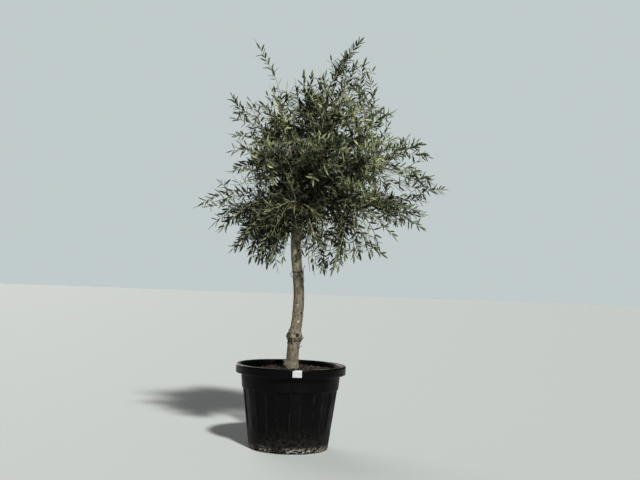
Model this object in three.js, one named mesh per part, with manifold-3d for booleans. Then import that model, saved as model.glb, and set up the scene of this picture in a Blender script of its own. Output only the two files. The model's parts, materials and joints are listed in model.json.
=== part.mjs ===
// A potted olive tree: a clear-stemmed young tree with an open, bushy head, in a ribbed nursery pot.
// Millimetres, +Z up. The origin is the centre of the pot's underside, and the front faces -Y.
import * as THREE from "three";
import Module from "manifold-3d";

const wasm = await Module();
wasm.setup();

const place = (x, y, z) => new THREE.Vector3(x, y, z);
const UP = place(0, 0, 1);
const RADIANS = Math.PI / 180;
const TURN = 2 * Math.PI;
const TOUCH = 0.3; // the clearance between two pieces that rest on each other
const MARGIN = 1; // how far a cutting body stands past the faces that it cuts through
const STEEP = 0.8; // a curve whose heading rises by more than this share is taken as upright
const SMALL = 0.01; // degrees, to choose between two that are turned alike

// Driving dimensions

const POT = {
  height: 367,
  footRadius: 168,
  baseRadius: 175,
  bodyTopRadius: 209.5,
  bandBottomRadius: 214,
  bandTopRadius: 219.5,
  lipRadius: 244,
  mouthRadius: 223,
  lipHeight: 38,
  bandHeight: 62,
  bandStep: 5,
  wall: 9, // from the face of a rib to the inside
  floor: 5,
  footHeight: 9,
  ribs: 12,
  ribTurn: 8.5, // degrees from the front to the middle of the nearest rib
  fluteDepth: 5,
  fluteFloor: 5.5, // half the width of a flute's flat floor, in degrees
  fluteMouth: 8.5, // half the width of a flute at the face of the ribs
  fluteFoot: 75,
  notchWidth: 26,
  notchHeight: 8,
  notchDepth: 20, // each way from the middle of the wall
  lipUnderside: 2, // how far the lip's underside slopes up
  lipRounding: [5, 6], // how far the rim is drawn in, and how far down that starts
};
const SOIL = { top: 346, crownRadius: 60, shoulder: 170, shoulderDrop: 1.5, edgeDrop: 6 };
const LABEL = { width: 44, height: 31, thickness: 1, top: 365 };

const TRUNK = {
  foot: SOIL.top + TOUCH,
  top: 1008,
  footRadius: 27.5,
  waistRadius: 22.3,
  flare: 4,
  flareReach: 30,
  knobHeight: 491,
  knobReach: 17,
  knobSwell: 6.5,
  knobLobes: 0.3,
  burlHeight: 378,
  burlSwell: 7,
  burlReach: 16,
  headSwell: 5,
  headBelow: 38,
  headReach: 30,
  fork: 0.985, // where on the trunk's middle line the boughs start
  steps: 24,
  sides: 14,
};
const TIE = { height: 779, width: 2.8, thickness: 2.2 };
const CLEAR = 900; // a block of this size holds the whole trunk

const CROWN = {
  centre: place(100, 0, 1250),
  halfWidth: 410,
  halfDepth: 400,
  halfHeight: 420,
  hub: place(36, 0, 1085), // the middle of the fork, from which the boughs spread
};
// The masses of foliage stand in tiers round the crown's middle. Angles are in degrees.
const TIERS = [
  { name: "upper", count: 4, turn: 15, rise: 42, share: 0.6, parent: "trunk", from: 0 },
  { name: "top", count: 1, turn: 0, rise: 90, share: 0.5, parent: "trunk", from: 0 },
  { name: "middle", count: 6, turn: 30, rise: 4, share: 0.6, parent: "upper", from: 0.5 },
  { name: "low", count: 5, turn: 30, rise: -34, share: 0.6, parent: "upper", from: 0.2 },
];
const BOUGH = { radius: 15, tip: 7.5, sides: 7, steps: 7, bend: 0.4, lift: 0.22 };
// A side limb starts on its bough at the tier's share of its length, or up to its spread farther out.
const LIMB = { radius: 8.5, tip: 5, sides: 6, steps: 4, spread: 0.16, onward: 0.3, pull: 0.45 };
// Where on the way from the hub to its mass's middle a limb ends, and how deep in the space that is.
const LIMB_END = { nearest: 0.42, step: 0.03, farthest: 0.9, depth: 14 };

const STEM = { radius: 4.6, tip: 3, bare: 0.06, beyond: 0.13, onward: 0.4, seat: 6 };
// A shoot leaves the stem at its lean in degrees, and bends towards its tip; arch lifts its middle.
const SHOOT = {
  radius: 3,
  tip: 1.7,
  shortest: 95,
  collar: 17,
  lean: 55,
  leastLean: 40,
  leaderLean: 12,
  bend: 0.42,
  arch: 0.5,
};
const LEAF = {
  length: 108,
  width: 40,
  thickness: 5,
  widest: 0.45, // the share of its length at which it is widest
  ofShoot: 0.45, // a leaf is never longer than this share of its shoot
  lean: 44,
  leanVary: 14,
  least: 0.85, // a side leaf's size against its shoot's last leaf, and how much it varies
  vary: 0.3,
  spread: 80,
  seat: 7,
};
const LEAF_SIZES = [1, 0.75, 0.55]; // the largest of these that has room is taken
const PAIRS = { spacing: 58, first: 32, last: 38 }; // along a twig, from its root and from its end
// How far a shoot and a leaf keep inside their mass's space, and clear of the limbs.
const SPACE = { stem: 6, shoot: 5, leaf: 1, limb: 2 };
const ROOM = { twig: 0.5, leaf: 2, foot: 8, footWidth: 4, footDepth: 3.5 }; // kept free round each

// The crown is filled by shoots whose tips lie on uneven shells round its middle.
const SHELLS = [
  { count: 108, share: 0.85, vary: 0.22, lowestRise: -72 },
  { count: 36, share: 0.45, vary: 0.22, lowestRise: -50 },
];
// The long shoots that stand out of the crown: where the tip of each one ends.
const LONG_SHOOTS = {
  highLeft: place(-217, -60, 1808),
  highRight: place(247, 40, 1820),
  highRightFork: place(280, -60, 1733),
  shoulderRight: place(439, 60, 1532),
  shoulderLeft: place(-303, -90, 1553),
  shoulderLeftFork: place(-324, 40, 1469),
  right: place(561, -60, 1365),
  rightFork: place(602, -90, 1223),
  farRight: place(679, 40, 1175),
  farRightFork: place(604, 110, 1059),
  lowRight: place(575, -70, 974),
  hangingRight: place(400, -120, 856),
  hangingMiddle: place(136, -200, 760),
  hangingMiddleFork: place(220, -150, 826),
  hangingLeft: place(-121, -160, 806),
  lowLeft: place(-259, 110, 857),
  farLeft: place(-457, -50, 1041),
  farLeftFork: place(-398, 50, 955),
};
// Like shoots on the front and the back, whose tips are dealt out by chance.
const HIDDEN_SHOOTS = { count: 8, share: 1.18, vary: 0.16, spread: 70, lowest: -30, highest: 65 };

const LOOKS = {
  pot: { color: 0x141415, roughness: 0.5 },
  soil: { color: 0x4a3526, roughness: 0.95 },
  label: { color: 0xe6e8e8, roughness: 0.6 },
  tie: { color: 0x2a2a28, roughness: 0.5 },
  trunk: { color: 0x8a7f6c, roughness: 0.9 },
  bough: { color: 0x7c7565, roughness: 0.85 },
  limb: { color: 0x747058, roughness: 0.85 },
  foliage: { color: 0x5b6647, roughness: 0.7 },
};

// A number from 0 to 1 that is always the same for the same two whole numbers.
function chance(first, second) {
  const wave = Math.sin(first * 12.9898 + second * 78.233) * 43758.5453;
  return wave - Math.floor(wave);
}

const mix = (a, b, share) => a.clone().lerp(b, share);

// Solids

// A closed body in the making: rings of corners, each one joined to the next.
class Body {
  corners = [];
  triangles = [];

  ring(places) {
    return places.map((corner) => this.corners.push(corner) - 1);
  }

  // Joins two equal rings, less the faces that are left open, and gives back the second.
  band(low, high, open = []) {
    low.forEach((corner, i) => {
      const next = (i + 1) % low.length;
      if (open.includes(i)) return;
      this.triangles.push([corner, low[next], high[next]], [corner, high[next], high[i]]);
    });
    return high;
  }

  // Joins two rings of any counts, turning round both at the same pace, and gives back the second.
  stitch(low, high) {
    const [inner, outer] = [this.armsOf(low), this.armsOf(high)];
    const reach = outer.map((arm) => arm.distanceTo(inner[0]));
    const start = reach.indexOf(Math.min(...reach));
    let [i, j] = [0, 0];
    while (i < low.length || j < high.length) {
      const [a, b] = [i % low.length, (start + j) % high.length];
      const [nextA, nextB] = [(a + 1) % low.length, (b + 1) % high.length];
      const lowFirst = inner[nextA].distanceTo(outer[b]) < outer[nextB].distanceTo(inner[a]);
      if (j === high.length || (i < low.length && lowFirst)) {
        this.triangles.push([low[a], low[nextA], high[b]]);
        i++;
      } else {
        this.triangles.push([low[a], high[nextB], high[b]]);
        j++;
      }
    }
    return high;
  }

  // The directions from a ring's middle to its corners.
  armsOf(ring) {
    const middle = ring.reduce((sum, i) => sum.add(this.corners[i]), place(0, 0, 0));
    middle.divideScalar(ring.length);
    return ring.map((i) => this.corners[i].clone().sub(middle).normalize());
  }

  // Closes a ring by a flat face, which ends the body, or starts it.
  close(ring, starts = false) {
    const order = starts ? [...ring].reverse() : ring;
    for (let i = 1; i < order.length - 1; i++)
      this.triangles.push([order[0], order[i], order[i + 1]]);
  }

  // Closes a ring to a point.
  point(ring, tip) {
    const [end] = this.ring([tip]);
    ring.forEach((corner, i) => this.triangles.push([corner, ring[(i + 1) % ring.length], end]));
  }

  solid() {
    const vertProperties = new Float32Array(this.corners.flatMap((corner) => corner.toArray()));
    const triVerts = new Uint32Array(this.triangles.flat());
    return new wasm.Manifold(new wasm.Mesh({ numProp: 3, vertProperties, triVerts }));
  }
}

// A body of equal rings with a flat face at each end.
function stack(rings) {
  const body = new Body();
  let last = body.ring(rings[0]);
  body.close(last, true);
  for (const places of rings.slice(1)) last = body.band(last, body.ring(places));
  body.close(last);
  return body.solid();
}

// A block of three.js's, with its corners merged.
function block(width, depth, height, change) {
  const geometry = change(new THREE.BoxGeometry(width, depth, height));
  const position = geometry.getAttribute("position");
  const body = new Body();
  const known = new Map();
  const merged = Array.from({ length: position.count }, (_, i) => {
    const corner = new THREE.Vector3().fromBufferAttribute(position, i);
    const key = corner.toArray().map((value) => value.toFixed(3)).join();
    if (!known.has(key)) known.set(key, body.ring([corner])[0]);
    return known.get(key);
  });
  const order = Array.from(geometry.index.array, (i) => merged[i]);
  while (order.length) body.triangles.push(order.splice(0, 3));
  return body.solid();
}

const largest = (solid) => solid.decompose().sort((a, b) => b.volume() - a.volume())[0];

// A curve's heading at t, and the side and the upper direction across it, which keep their sense
// along the whole curve.
function frameAt(line, t) {
  const whole = line.getPoint(1).sub(line.getPoint(0)).normalize();
  const level = whole.clone().cross(Math.abs(whole.z) > STEEP ? place(0, 1, 0) : UP);
  const heading = line.getTangent(t);
  const above = level.cross(heading).normalize();
  return { heading, above, side: heading.clone().cross(above).normalize() };
}

const acrossAt = ({ above, side }, turn) =>
  above.clone().multiplyScalar(Math.cos(turn)).addScaledVector(side, Math.sin(turn));

// The corners of a round section across a curve at t. Its radius may change with the turn.
function section(line, t, sides, radiusAt, roll = 0) {
  const frame = frameAt(line, t);
  return Array.from({ length: sides }, (_, corner) => {
    const turn = roll + (TURN * corner) / sides;
    return line.getPoint(t).addScaledVector(acrossAt(frame, turn), radiusAt(turn));
  });
}

function tube(line, steps, sides, radiusAt) {
  const rings = Array.from({ length: steps + 1 }, (_, step) => {
    const t = step / steps;
    return section(line, t, sides, (turn) => radiusAt(t, turn));
  });
  return stack(rings);
}

const arc = (start, bend, end) => new THREE.QuadraticBezierCurve3(start, bend, end);

// The pot, its soil and the label on its lip

// A round body from rings of [radius, height, depth of its flutes], from the bottom up. It has four
// corners to each rib, at the mouths and the floors of the flutes beside it.
function fluted(profile) {
  const pitch = 360 / POT.ribs;
  const angles = Array.from({ length: POT.ribs }, (_, rib) =>
    [-POT.fluteMouth, -POT.fluteFloor, POT.fluteFloor, POT.fluteMouth].map((offset) => ({
      angle: (POT.ribTurn - 90 + pitch * (rib + 0.5) + offset) * RADIANS,
      inFlute: Math.abs(offset) < POT.fluteMouth,
    })),
  ).flat();
  const ringOf = ([radius, z, depth = 0]) =>
    angles.map(({ angle, inFlute }) => {
      const r = radius - (inFlute ? depth : 0);
      return place(r * Math.cos(angle), r * Math.sin(angle), z);
    });
  return stack(profile.map(ringOf));
}

const lipBottom = POT.height - POT.lipHeight;
const bandBottom = lipBottom - POT.bandHeight;
const bodyTop = bandBottom - POT.bandStep;
const bodyRadius = (z) =>
  POT.baseRadius + ((POT.bodyTopRadius - POT.baseRadius) * z) / bodyTop;
const rimSlope = (POT.mouthRadius - POT.bodyTopRadius + POT.wall) / (POT.height - bodyTop);
const insideRadius = (z) =>
  bodyRadius(Math.min(z, bodyTop)) - POT.wall + rimSlope * Math.max(0, z - bodyTop);

function potSolid() {
  const { fluteDepth, fluteFoot, lipRadius, height, footHeight } = POT;
  const [roundingIn, roundingDown] = POT.lipRounding;
  const outside = fluted([
    [POT.footRadius, 0],
    [bodyRadius(footHeight), footHeight],
    [bodyRadius(fluteFoot), fluteFoot],
    [bodyRadius(fluteFoot + fluteDepth), fluteFoot + fluteDepth, fluteDepth],
    [bodyRadius(bodyTop - fluteDepth), bodyTop - fluteDepth, fluteDepth],
    [POT.bodyTopRadius, bodyTop],
    [POT.bandBottomRadius, bandBottom],
    [POT.bandTopRadius, lipBottom],
    [lipRadius, lipBottom + POT.lipUnderside],
    [lipRadius, height - roundingDown],
    [lipRadius - roundingIn, height],
  ]);
  const inside = fluted([
    [insideRadius(POT.floor), POT.floor],
    [insideRadius(bodyTop), bodyTop],
    [insideRadius(height + MARGIN), height + MARGIN],
  ]);
  const notches = Array.from({ length: POT.ribs }, (_, rib) =>
    notchSolid((POT.ribTurn - 90 + (rib * 360) / POT.ribs) * RADIANS),
  );
  return notches.reduce((pot, notch) => pot.subtract(notch), outside.subtract(inside));
}

// A drain notch: a block through the foot of the wall, and through the edge of the floor.
function notchSolid(angle) {
  const middle = bodyRadius(0) - POT.wall / 2;
  return block(2 * POT.notchDepth, POT.notchWidth, POT.notchHeight + MARGIN, (box) =>
    box.translate(middle, 0, (POT.notchHeight - MARGIN) / 2).rotateZ(angle),
  );
}

function soilSolid() {
  const edge = SOIL.top - SOIL.edgeDrop;
  return fluted([
    [insideRadius(POT.floor) - TOUCH, POT.floor + TOUCH],
    [insideRadius(bodyTop) - TOUCH, bodyTop],
    [insideRadius(edge) - TOUCH, edge],
    [SOIL.shoulder, SOIL.top - SOIL.shoulderDrop],
    [SOIL.crownRadius, SOIL.top],
  ]);
}

// The label is a blank plate on the flat of the lip, over the rib that is nearest the front.
function labelSolid() {
  const halfRib = 180 / POT.ribs - POT.fluteMouth;
  const flat = POT.lipRadius * Math.cos(halfRib * RADIANS);
  const { width, height, thickness, top } = LABEL;
  return block(width, thickness, height, (box) =>
    box
      .translate(0, -(flat + TOUCH + thickness / 2), top - height / 2)
      .rotateZ(POT.ribTurn * RADIANS),
  );
}

// The trunk and its tie

// The trunk's middle line: it leans right up to half its clear height, and comes back to the fork.
const trunkLine = new THREE.CatmullRomCurve3([
  place(5, -1, TRUNK.foot - 20),
  place(6, 2, 425),
  place(12, 4, 500),
  place(21, 6, 580),
  place(24, 6, 670),
  place(15, 2, 770),
  place(4, -3, 860),
  place(1, -3, 920),
  place(9, 0, TRUNK.top),
]);

const bump = (value, middle, reach) => Math.exp(-(((value - middle) / reach) ** 2));

// Its radius: a steady taper, the flare at the soil, a burl, the pruned knob and the swollen head.
// A turn of a quarter is the left side.
function trunkRadius(t, turn) {
  const z = trunkLine.getPoint(t).z;
  const rise = Math.max(0, z - TRUNK.foot) / (TRUNK.top - TRUNK.foot);
  const taper = TRUNK.waistRadius + (TRUNK.footRadius - TRUNK.waistRadius) * (1 - rise) ** 2;
  const left = Math.max(0, Math.sin(turn));
  const uneven = 1 + TRUNK.knobLobes * Math.cos(3 * turn);
  return (
    taper +
    TRUNK.flare * bump(z, TRUNK.foot, TRUNK.flareReach) +
    TRUNK.burlSwell * bump(z, TRUNK.burlHeight, TRUNK.burlReach) * left ** 3 +
    TRUNK.knobSwell * bump(z, TRUNK.knobHeight, TRUNK.knobReach) * uneven +
    TRUNK.headSwell * bump(z, TRUNK.top - TRUNK.headBelow, TRUNK.headReach)
  );
}

// The trunk, grown by a clearance where something is fitted to it, and cut flat at the soil.
function trunkSolid(extra = 0) {
  const room = block(CLEAR, CLEAR, CLEAR, (box) => box.translate(0, 0, TRUNK.foot + CLEAR / 2));
  const radiusAt = (t, turn) => trunkRadius(t, turn) + extra;
  return tube(trunkLine, TRUNK.steps, TRUNK.sides, radiusAt).intersect(room);
}

// The tie is a short sleeve round the trunk.
function tieSolid() {
  const slab = block(CLEAR, CLEAR, TIE.width, (box) => box.translate(0, 0, TIE.height));
  return trunkSolid(TOUCH + TIE.thickness).intersect(slab).subtract(trunkSolid(TOUCH));
}

// The crown's masses and limbs

function crownPlace(turn, rise, share) {
  const level = share * Math.cos(rise * RADIANS);
  return CROWN.centre
    .clone()
    .add(
      place(
        level * CROWN.halfWidth * Math.cos(turn * RADIANS),
        level * CROWN.halfDepth * Math.sin(turn * RADIANS),
        share * CROWN.halfHeight * Math.sin(rise * RADIANS),
      ),
    );
}

const masses = TIERS.flatMap((tier) =>
  Array.from({ length: tier.count }, (_, index) => {
    const turn = tier.turn + (360 * index) / tier.count;
    const name = tier.count > 1 ? `${tier.name}_${index + 1}` : tier.name;
    return { name, tier, index, turn, centre: crownPlace(turn, tier.rise, tier.share) };
  }),
);

// The borders of a mass's space lie halfway to the middle of each other mass.
for (const mass of masses)
  mass.borders = masses
    .filter((other) => other !== mass)
    .map((other) => ({
      halfway: mix(mass.centre, other.centre, 0.5),
      away: other.centre.clone().sub(mass.centre).normalize(),
    }));

// How far a spot is inside a mass's space.
const depthInSpace = (spot, mass) =>
  Math.min(...mass.borders.map(({ halfway, away }) => halfway.clone().sub(spot).dot(away)));

const nearestMass = (spot) =>
  masses.reduce((a, b) => (b.centre.distanceTo(spot) < a.centre.distanceTo(spot) ? b : a));

// Moves a spot back from each border of a mass's space that it is too close to.
function keptInSpace(spot, mass, margin) {
  const kept = spot.clone();
  for (const { halfway, away } of mass.borders) {
    const room = halfway.clone().sub(kept).dot(away);
    if (room < margin) kept.addScaledVector(away, room - margin);
  }
  return kept;
}

// A limb ends on the way from the hub to its mass's middle, as soon as it is inside the mass's space.
function limbEnd(mass) {
  let share = LIMB_END.nearest;
  let end = mix(CROWN.hub, mass.centre, share);
  while (depthInSpace(end, mass) < LIMB_END.depth && share < LIMB_END.farthest) {
    share += LIMB_END.step;
    end = mix(CROWN.hub, mass.centre, share);
  }
  return end;
}

// A bough from the trunk rises and then spreads.
function boughLine(end) {
  const start = trunkLine.getPoint(TRUNK.fork);
  const bend = mix(start, end, BOUGH.bend).addScaledVector(UP, BOUGH.lift * start.distanceTo(end));
  return arc(start, bend, end);
}

// A side limb goes on from the bough that is turned its way, and spreads more. Where two boughs are
// turned equally far from it, it takes the first.
function sideLimbLine(mass, end) {
  const turned = (other) =>
    Math.abs(((other.turn - mass.turn + 540) % 360) - 180) + SMALL * other.index;
  const bough = masses
    .filter((other) => other.tier.name === mass.tier.parent)
    .reduce((a, b) => (turned(b) < turned(a) ? b : a)).limb;
  const from = mass.tier.from + LIMB.spread * chance(mass.index, 5);
  const start = bough.getPoint(from);
  const reach = LIMB.onward * start.distanceTo(end);
  const onward = start.clone().addScaledVector(bough.getTangent(from), reach);
  return arc(start, onward.lerp(mix(start, end, 0.5), LIMB.pull), end);
}

function addLimbs() {
  for (const mass of masses) {
    const isBough = mass.tier.parent === "trunk";
    const end = limbEnd(mass);
    mass.kind = isBough ? "bough" : "limb";
    mass.size = isBough ? BOUGH : LIMB;
    mass.limb = isBough ? boughLine(end) : sideLimbLine(mass, end);
  }
}

const taperOf = ({ radius, tip }, t) => radius + (tip - radius) * t;

const limbSolid = ({ limb, size }, extra = 0) =>
  tube(limb, size.steps, size.sides, (t) => taperOf(size, t) + extra);

// The stem of a mass goes on from its limb's end, through the middle of the mass.
function addStems() {
  for (const mass of masses) {
    const heading = mass.limb.getTangent(1);
    const start = mass.limb.getPoint(1).addScaledVector(heading, TOUCH);
    const reach = STEM.onward * start.distanceTo(mass.centre);
    const bend = start.clone().addScaledVector(heading, reach);
    const { turn, tier } = mass;
    const end = crownPlace(turn, tier.rise, tier.share + STEM.beyond);
    mass.stem = arc(start, keptInSpace(bend, mass, SPACE.stem), keptInSpace(end, mass, SPACE.stem));
  }
}

// The straight spans of a curve, each with its radius, for telling what comes close to it.
const spansOf = (line, steps, radiusAt) =>
  Array.from({ length: steps }, (_, step) => ({
    axis: new THREE.Line3(line.getPoint(step / steps), line.getPoint((step + 1) / steps)),
    radius: radiusAt(step / steps),
  }));

// The least distance between two straight spans, by steps along the first.
function spanDistance(first, second) {
  const near = place(0, 0, 0);
  const spot = place(0, 0, 0);
  let least = Infinity;
  const steps = 8;
  for (let step = 0; step <= steps; step++) {
    first.at(step / steps, spot);
    second.closestPointToPoint(spot, true, near);
    least = Math.min(least, near.distanceTo(spot));
  }
  return least;
}

const touchesLimb = (axis, clearance) =>
  limbSpans.some((span) => spanDistance(axis, span.axis) < span.radius + clearance);

// The shoots of the crown

// Where all the shoots' tips are: even spirals over the shells, the long shoots and the hidden ones.
function shootTips() {
  const golden = 180 * (3 - Math.sqrt(5));
  const tips = Object.values(LONG_SHOOTS);
  for (let index = 0; index < HIDDEN_SHOOTS.count; index++) {
    const { share, vary, spread, lowest, highest } = HIDDEN_SHOOTS;
    const turn = (index % 2 ? 90 : -90) + spread * (chance(index, 7) - 0.5);
    const rise = lowest + (highest - lowest) * chance(index, 8);
    tips.push(crownPlace(turn, rise, share + vary * chance(index, 9)));
  }
  for (const { count, share, vary, lowestRise } of SHELLS)
    for (let index = 0; index < count; index++) {
      const rise = Math.asin(1 - (2 * (index + 0.5)) / count) / RADIANS;
      if (rise > lowestRise)
        tips.push(crownPlace(golden * index, rise, share + vary * chance(index, count)));
    }
  return tips;
}

// A shoot leaves its mass's stem at a lean, arches up and out, and ends at its tip. Its twig is
// followed by its last leaf, and the pairs of leaves stand evenly along the twig.
function shootTo(wanted, mass, from, index) {
  const tip = keptInSpace(wanted, mass, SPACE.shoot);
  const start = mass.stem.getPoint(from);
  const length = start.distanceTo(tip);
  const onward = mass.stem.getTangent(from);
  const pull = tip.clone().sub(start).addScaledVector(UP, SHOOT.arch * length);
  const across = pull.addScaledVector(onward, -pull.dot(onward)).normalize();
  const lean = from < 1 ? SHOOT.lean * RADIANS : SHOOT.leaderLean * RADIANS;
  const bend = start
    .clone()
    .addScaledVector(onward, SHOOT.bend * length * Math.cos(lean))
    .addScaledVector(across, SHOOT.bend * length * Math.sin(lean));
  const line = arc(start, keptInSpace(bend, mass, SPACE.shoot), tip);
  const leafSize = Math.min(LEAF.length, LEAF.ofShoot * length);
  const wood = 1 - leafSize / length;
  const room = Math.max(0, wood * length - PAIRS.first - PAIRS.last);
  const pairs = Math.round(room / PAIRS.spacing) + 1;
  const places = Array.from({ length: pairs }, (_, pair) => {
    const share = pairs > 1 ? pair / (pairs - 1) : 1;
    return (PAIRS.first + share * room) / length;
  });
  const roll = (TURN / 3) * (chance(index, 11) - 0.5);
  return { mass, index, length, from, line, leafSize, wood, places, roll };
}

const shootRadius = (shoot, t) => SHOOT.radius + ((SHOOT.tip - SHOOT.radius) * t) / shoot.wood;

const twigSection = (shoot, t, extra = 0) =>
  section(shoot.line, t, 3, () => shootRadius(shoot, t) + extra, shoot.roll);

// The twig by itself, from a distance along it, with a little room round it.
function twigSolid(shoot, distance) {
  const first = distance / shoot.length;
  const shares = [0, 0.25, 0.5, 0.75, 1].map((share) => first + (shoot.wood - first) * share);
  return stack(shares.map((t) => twigSection(shoot, t, ROOM.twig)));
}

const meets = (first, second) => !first.intersect(second).isEmpty();
const isFree = (solid, mass) => !meets(solid, mass.taken) && !meets(solid, mass.stemRoom);

function shootFits(shoot) {
  const inside = [0.25, 0.5, 0.75, 1].every(
    (t) => depthInSpace(shoot.line.getPoint(t), shoot.mass) >= SPACE.shoot - 1,
  );
  const clear = spansOf(shoot.line, 6, () => SHOOT.radius)
    .slice(1)
    .every(({ axis, radius }) => !touchesLimb(axis, radius + SPACE.limb));
  const free = () =>
    !meets(twigSolid(shoot, STEM.radius), shoot.mass.taken) &&
    !meets(twigSolid(shoot, SHOOT.collar), shoot.mass.stemRoom) &&
    isFree(bladeSolid(endLeaf(shoot)), shoot.mass);
  const lean = shoot.line.getTangent(0).angleTo(shoot.mass.stem.getTangent(shoot.from)) / RADIANS;
  const leaves = shoot.from === 1 || lean > SHOOT.leastLean;
  return shoot.length > SHOOT.shortest && leaves && inside && clear && free();
}

// The shoots of a mass leave its stem at even steps. The one that reaches farthest out goes on from
// the stem's end and has the first claim to its place, and one that would touch another is left out.
function addShoots() {
  const tips = shootTips().map((tip, index) => ({ tip, index, mass: nearestMass(tip) }));
  for (const mass of masses) {
    const out = frameAt(mass.stem, 0.5).heading;
    const own = tips.filter((one) => one.mass === mass);
    own.sort((a, b) => a.tip.dot(out) - b.tip.dot(out));
    const last = own.length - 1;
    mass.stemRoom = tube(mass.stem, 4, 3, (t) => taperOf(STEM, t) + ROOM.twig);
    mass.taken = limbSolid(mass, TOUCH);
    mass.shoots = [];
    for (let rank = last; rank >= 0; rank--) {
      const from = rank === last ? 1 : STEM.bare + ((1 - STEM.bare) * (rank + 0.5)) / last;
      const shoot = shootTo(own[rank].tip, mass, from, own[rank].index);
      if (!shootFits(shoot)) continue;
      mass.shoots.unshift(shoot);
      mass.taken = mass.taken.add(twigSolid(shoot, STEM.radius)).add(bladeSolid(endLeaf(shoot)));
    }
  }
}

// The leaves

// Where a side leaf goes: its root on the twig at t, its heading, and the way its upper side faces.
function sideLeaf(shoot, t, turn, lean, size) {
  const frame = frameAt(shoot.line, t);
  const out = acrossAt(frame, turn);
  const [along, across] = [Math.cos(lean), Math.sin(lean)];
  return {
    root: shoot.line.getPoint(t),
    heading: frame.heading.clone().multiplyScalar(along).addScaledVector(out, across),
    face: frame.heading.clone().multiplyScalar(across).addScaledVector(out, -along),
    size,
  };
}

// The leaf that a shoot ends in.
function endLeaf(shoot) {
  const frame = frameAt(shoot.line, (shoot.wood + 1) / 2);
  const root = shoot.line.getPoint(shoot.wood);
  const size = root.distanceTo(shoot.line.getPoint(1));
  return { root, heading: frame.heading, face: acrossAt(frame, shoot.roll), size };
}

const leafTip = ({ root, heading, size }) => root.clone().addScaledVector(heading, size);

// Four corners round a leaf at a distance from its root: its back, an edge, its ridge, an edge.
function leafRing({ root, heading, face }, distance, halfWidth, halfDepth) {
  const middle = root.clone().addScaledVector(heading, distance);
  const edge = face.clone().cross(heading).multiplyScalar(halfWidth);
  const depth = face.clone().multiplyScalar(halfDepth);
  return [
    middle.clone().sub(depth),
    middle.clone().add(edge),
    middle.clone().add(depth),
    middle.clone().sub(edge),
  ];
}

// The rim of a leaf where it is widest.
function leafRim(leaf, room = 0) {
  const halfWidth = (LEAF.width * leaf.size) / LEAF.length / 2 + room;
  return leafRing(leaf, LEAF.widest * leaf.size, halfWidth, LEAF.thickness / 2 + room);
}

// A leaf by itself, from where it is clear of its twig, with a little room round it.
function bladeSolid(leaf) {
  const body = new Body();
  const foot = body.ring(leafRing(leaf, ROOM.foot, ROOM.footWidth, ROOM.footDepth));
  body.close(foot, true);
  body.point(body.band(foot, body.ring(leafRim(leaf, ROOM.leaf))), leafTip(leaf));
  return body.solid();
}

// A leaf fits where it stays in its mass's space and clear of all limbs, twigs and other leaves.
function leafFits(leaf, mass) {
  const tip = leafTip(leaf);
  if ([...leafRim(leaf), tip].some((spot) => depthInSpace(spot, mass) < SPACE.leaf)) return false;
  if (touchesLimb(new THREE.Line3(leaf.root, tip), LEAF.width / 3)) return false;
  return isFree(bladeSolid(leaf), mass);
}

// The largest leaf that has room, if any does. It then takes that room.
function leafWithRoom(shoot, t, turn, lean, size) {
  const leaf = LEAF_SIZES.map((share) => sideLeaf(shoot, t, turn, lean, share * size)).find(
    (one) => leafFits(one, shoot.mass),
  );
  if (leaf) shoot.mass.taken = shoot.mass.taken.add(bladeSolid(leaf));
  return leaf;
}

// Grows a shoot out of a ring of corners on its stem: a three-sided twig that ends in a leaf, with
// pairs of leaves that grow out of two of its faces, each pair a third of a turn on from the last.
function growShoot(body, seat, shoot) {
  let last = body.stitch(seat, body.ring(twigSection(shoot, SHOOT.collar / shoot.length)));
  const half = LEAF.seat / 2 / shoot.length;
  shoot.places.forEach((t, pair) => {
    const low = body.band(last, body.ring(twigSection(shoot, t - half)));
    const high = body.ring(twigSection(shoot, t + half));
    const size = shoot.leafSize * (LEAF.least + LEAF.vary * chance(shoot.index, 17 + pair));
    const lean = (LEAF.lean + LEAF.leanVary * (chance(shoot.index, 13 + pair) - 0.5)) * RADIANS;
    const open = [];
    for (const way of [-1, 1]) {
      const turn = shoot.roll + (pair * TURN) / 3 + way * LEAF.spread * RADIANS;
      const leaf = leafWithRoom(shoot, t, turn, lean, size);
      if (!leaf) continue;
      const face = (pair + (way < 0 ? 2 : 0)) % 3;
      const next = (face + 1) % 3;
      const root = [low[face], low[next], high[next], high[face]];
      body.point(body.stitch(root, body.ring(leafRim(leaf))), leafTip(leaf));
      open.push(face);
    }
    last = body.band(low, high, open);
  });
  const end = body.band(last, body.ring(twigSection(shoot, shoot.wood)));
  const leaf = endLeaf(shoot);
  body.point(body.stitch(end, body.ring(leafRim(leaf))), leafTip(leaf));
}

// A mass of foliage is one closed body: its three-sided stem, with each shoot grown out of the face
// of it that looks the shoot's way.
function foliageSolid(mass) {
  const body = new Body();
  const stemSection = (t) => section(mass.stem, t, 3, () => taperOf(STEM, t));
  let last = body.ring(stemSection(0));
  body.close(last, true);
  const side = mass.shoots.slice(0, -1);
  const half = STEM.seat / 2 / mass.stem.getLength();
  for (const shoot of mass.shoots) {
    if (shoot.from === 1) break;
    const low = body.band(last, body.ring(stemSection(shoot.from - half)));
    const high = body.ring(stemSection(shoot.from + half));
    const frame = frameAt(mass.stem, shoot.from);
    const heading = shoot.line.getTangent(0);
    const lookOf = (face) => acrossAt(frame, (TURN * (face + 0.5)) / 3).dot(heading);
    const face = [0, 1, 2].reduce((a, b) => (lookOf(b) > lookOf(a) ? b : a));
    const next = (face + 1) % 3;
    growShoot(body, [low[face], low[next], high[next], high[face]], shoot);
    last = body.band(low, high, [face]);
  }
  last = body.band(last, body.ring(stemSection(1)));
  const leader = mass.shoots[mass.shoots.length - 1];
  if (leader.from === 1) growShoot(body, last, leader);
  else body.close(last);
  return body.solid();
}

// The named meshes

const tree = new THREE.Group();

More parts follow.
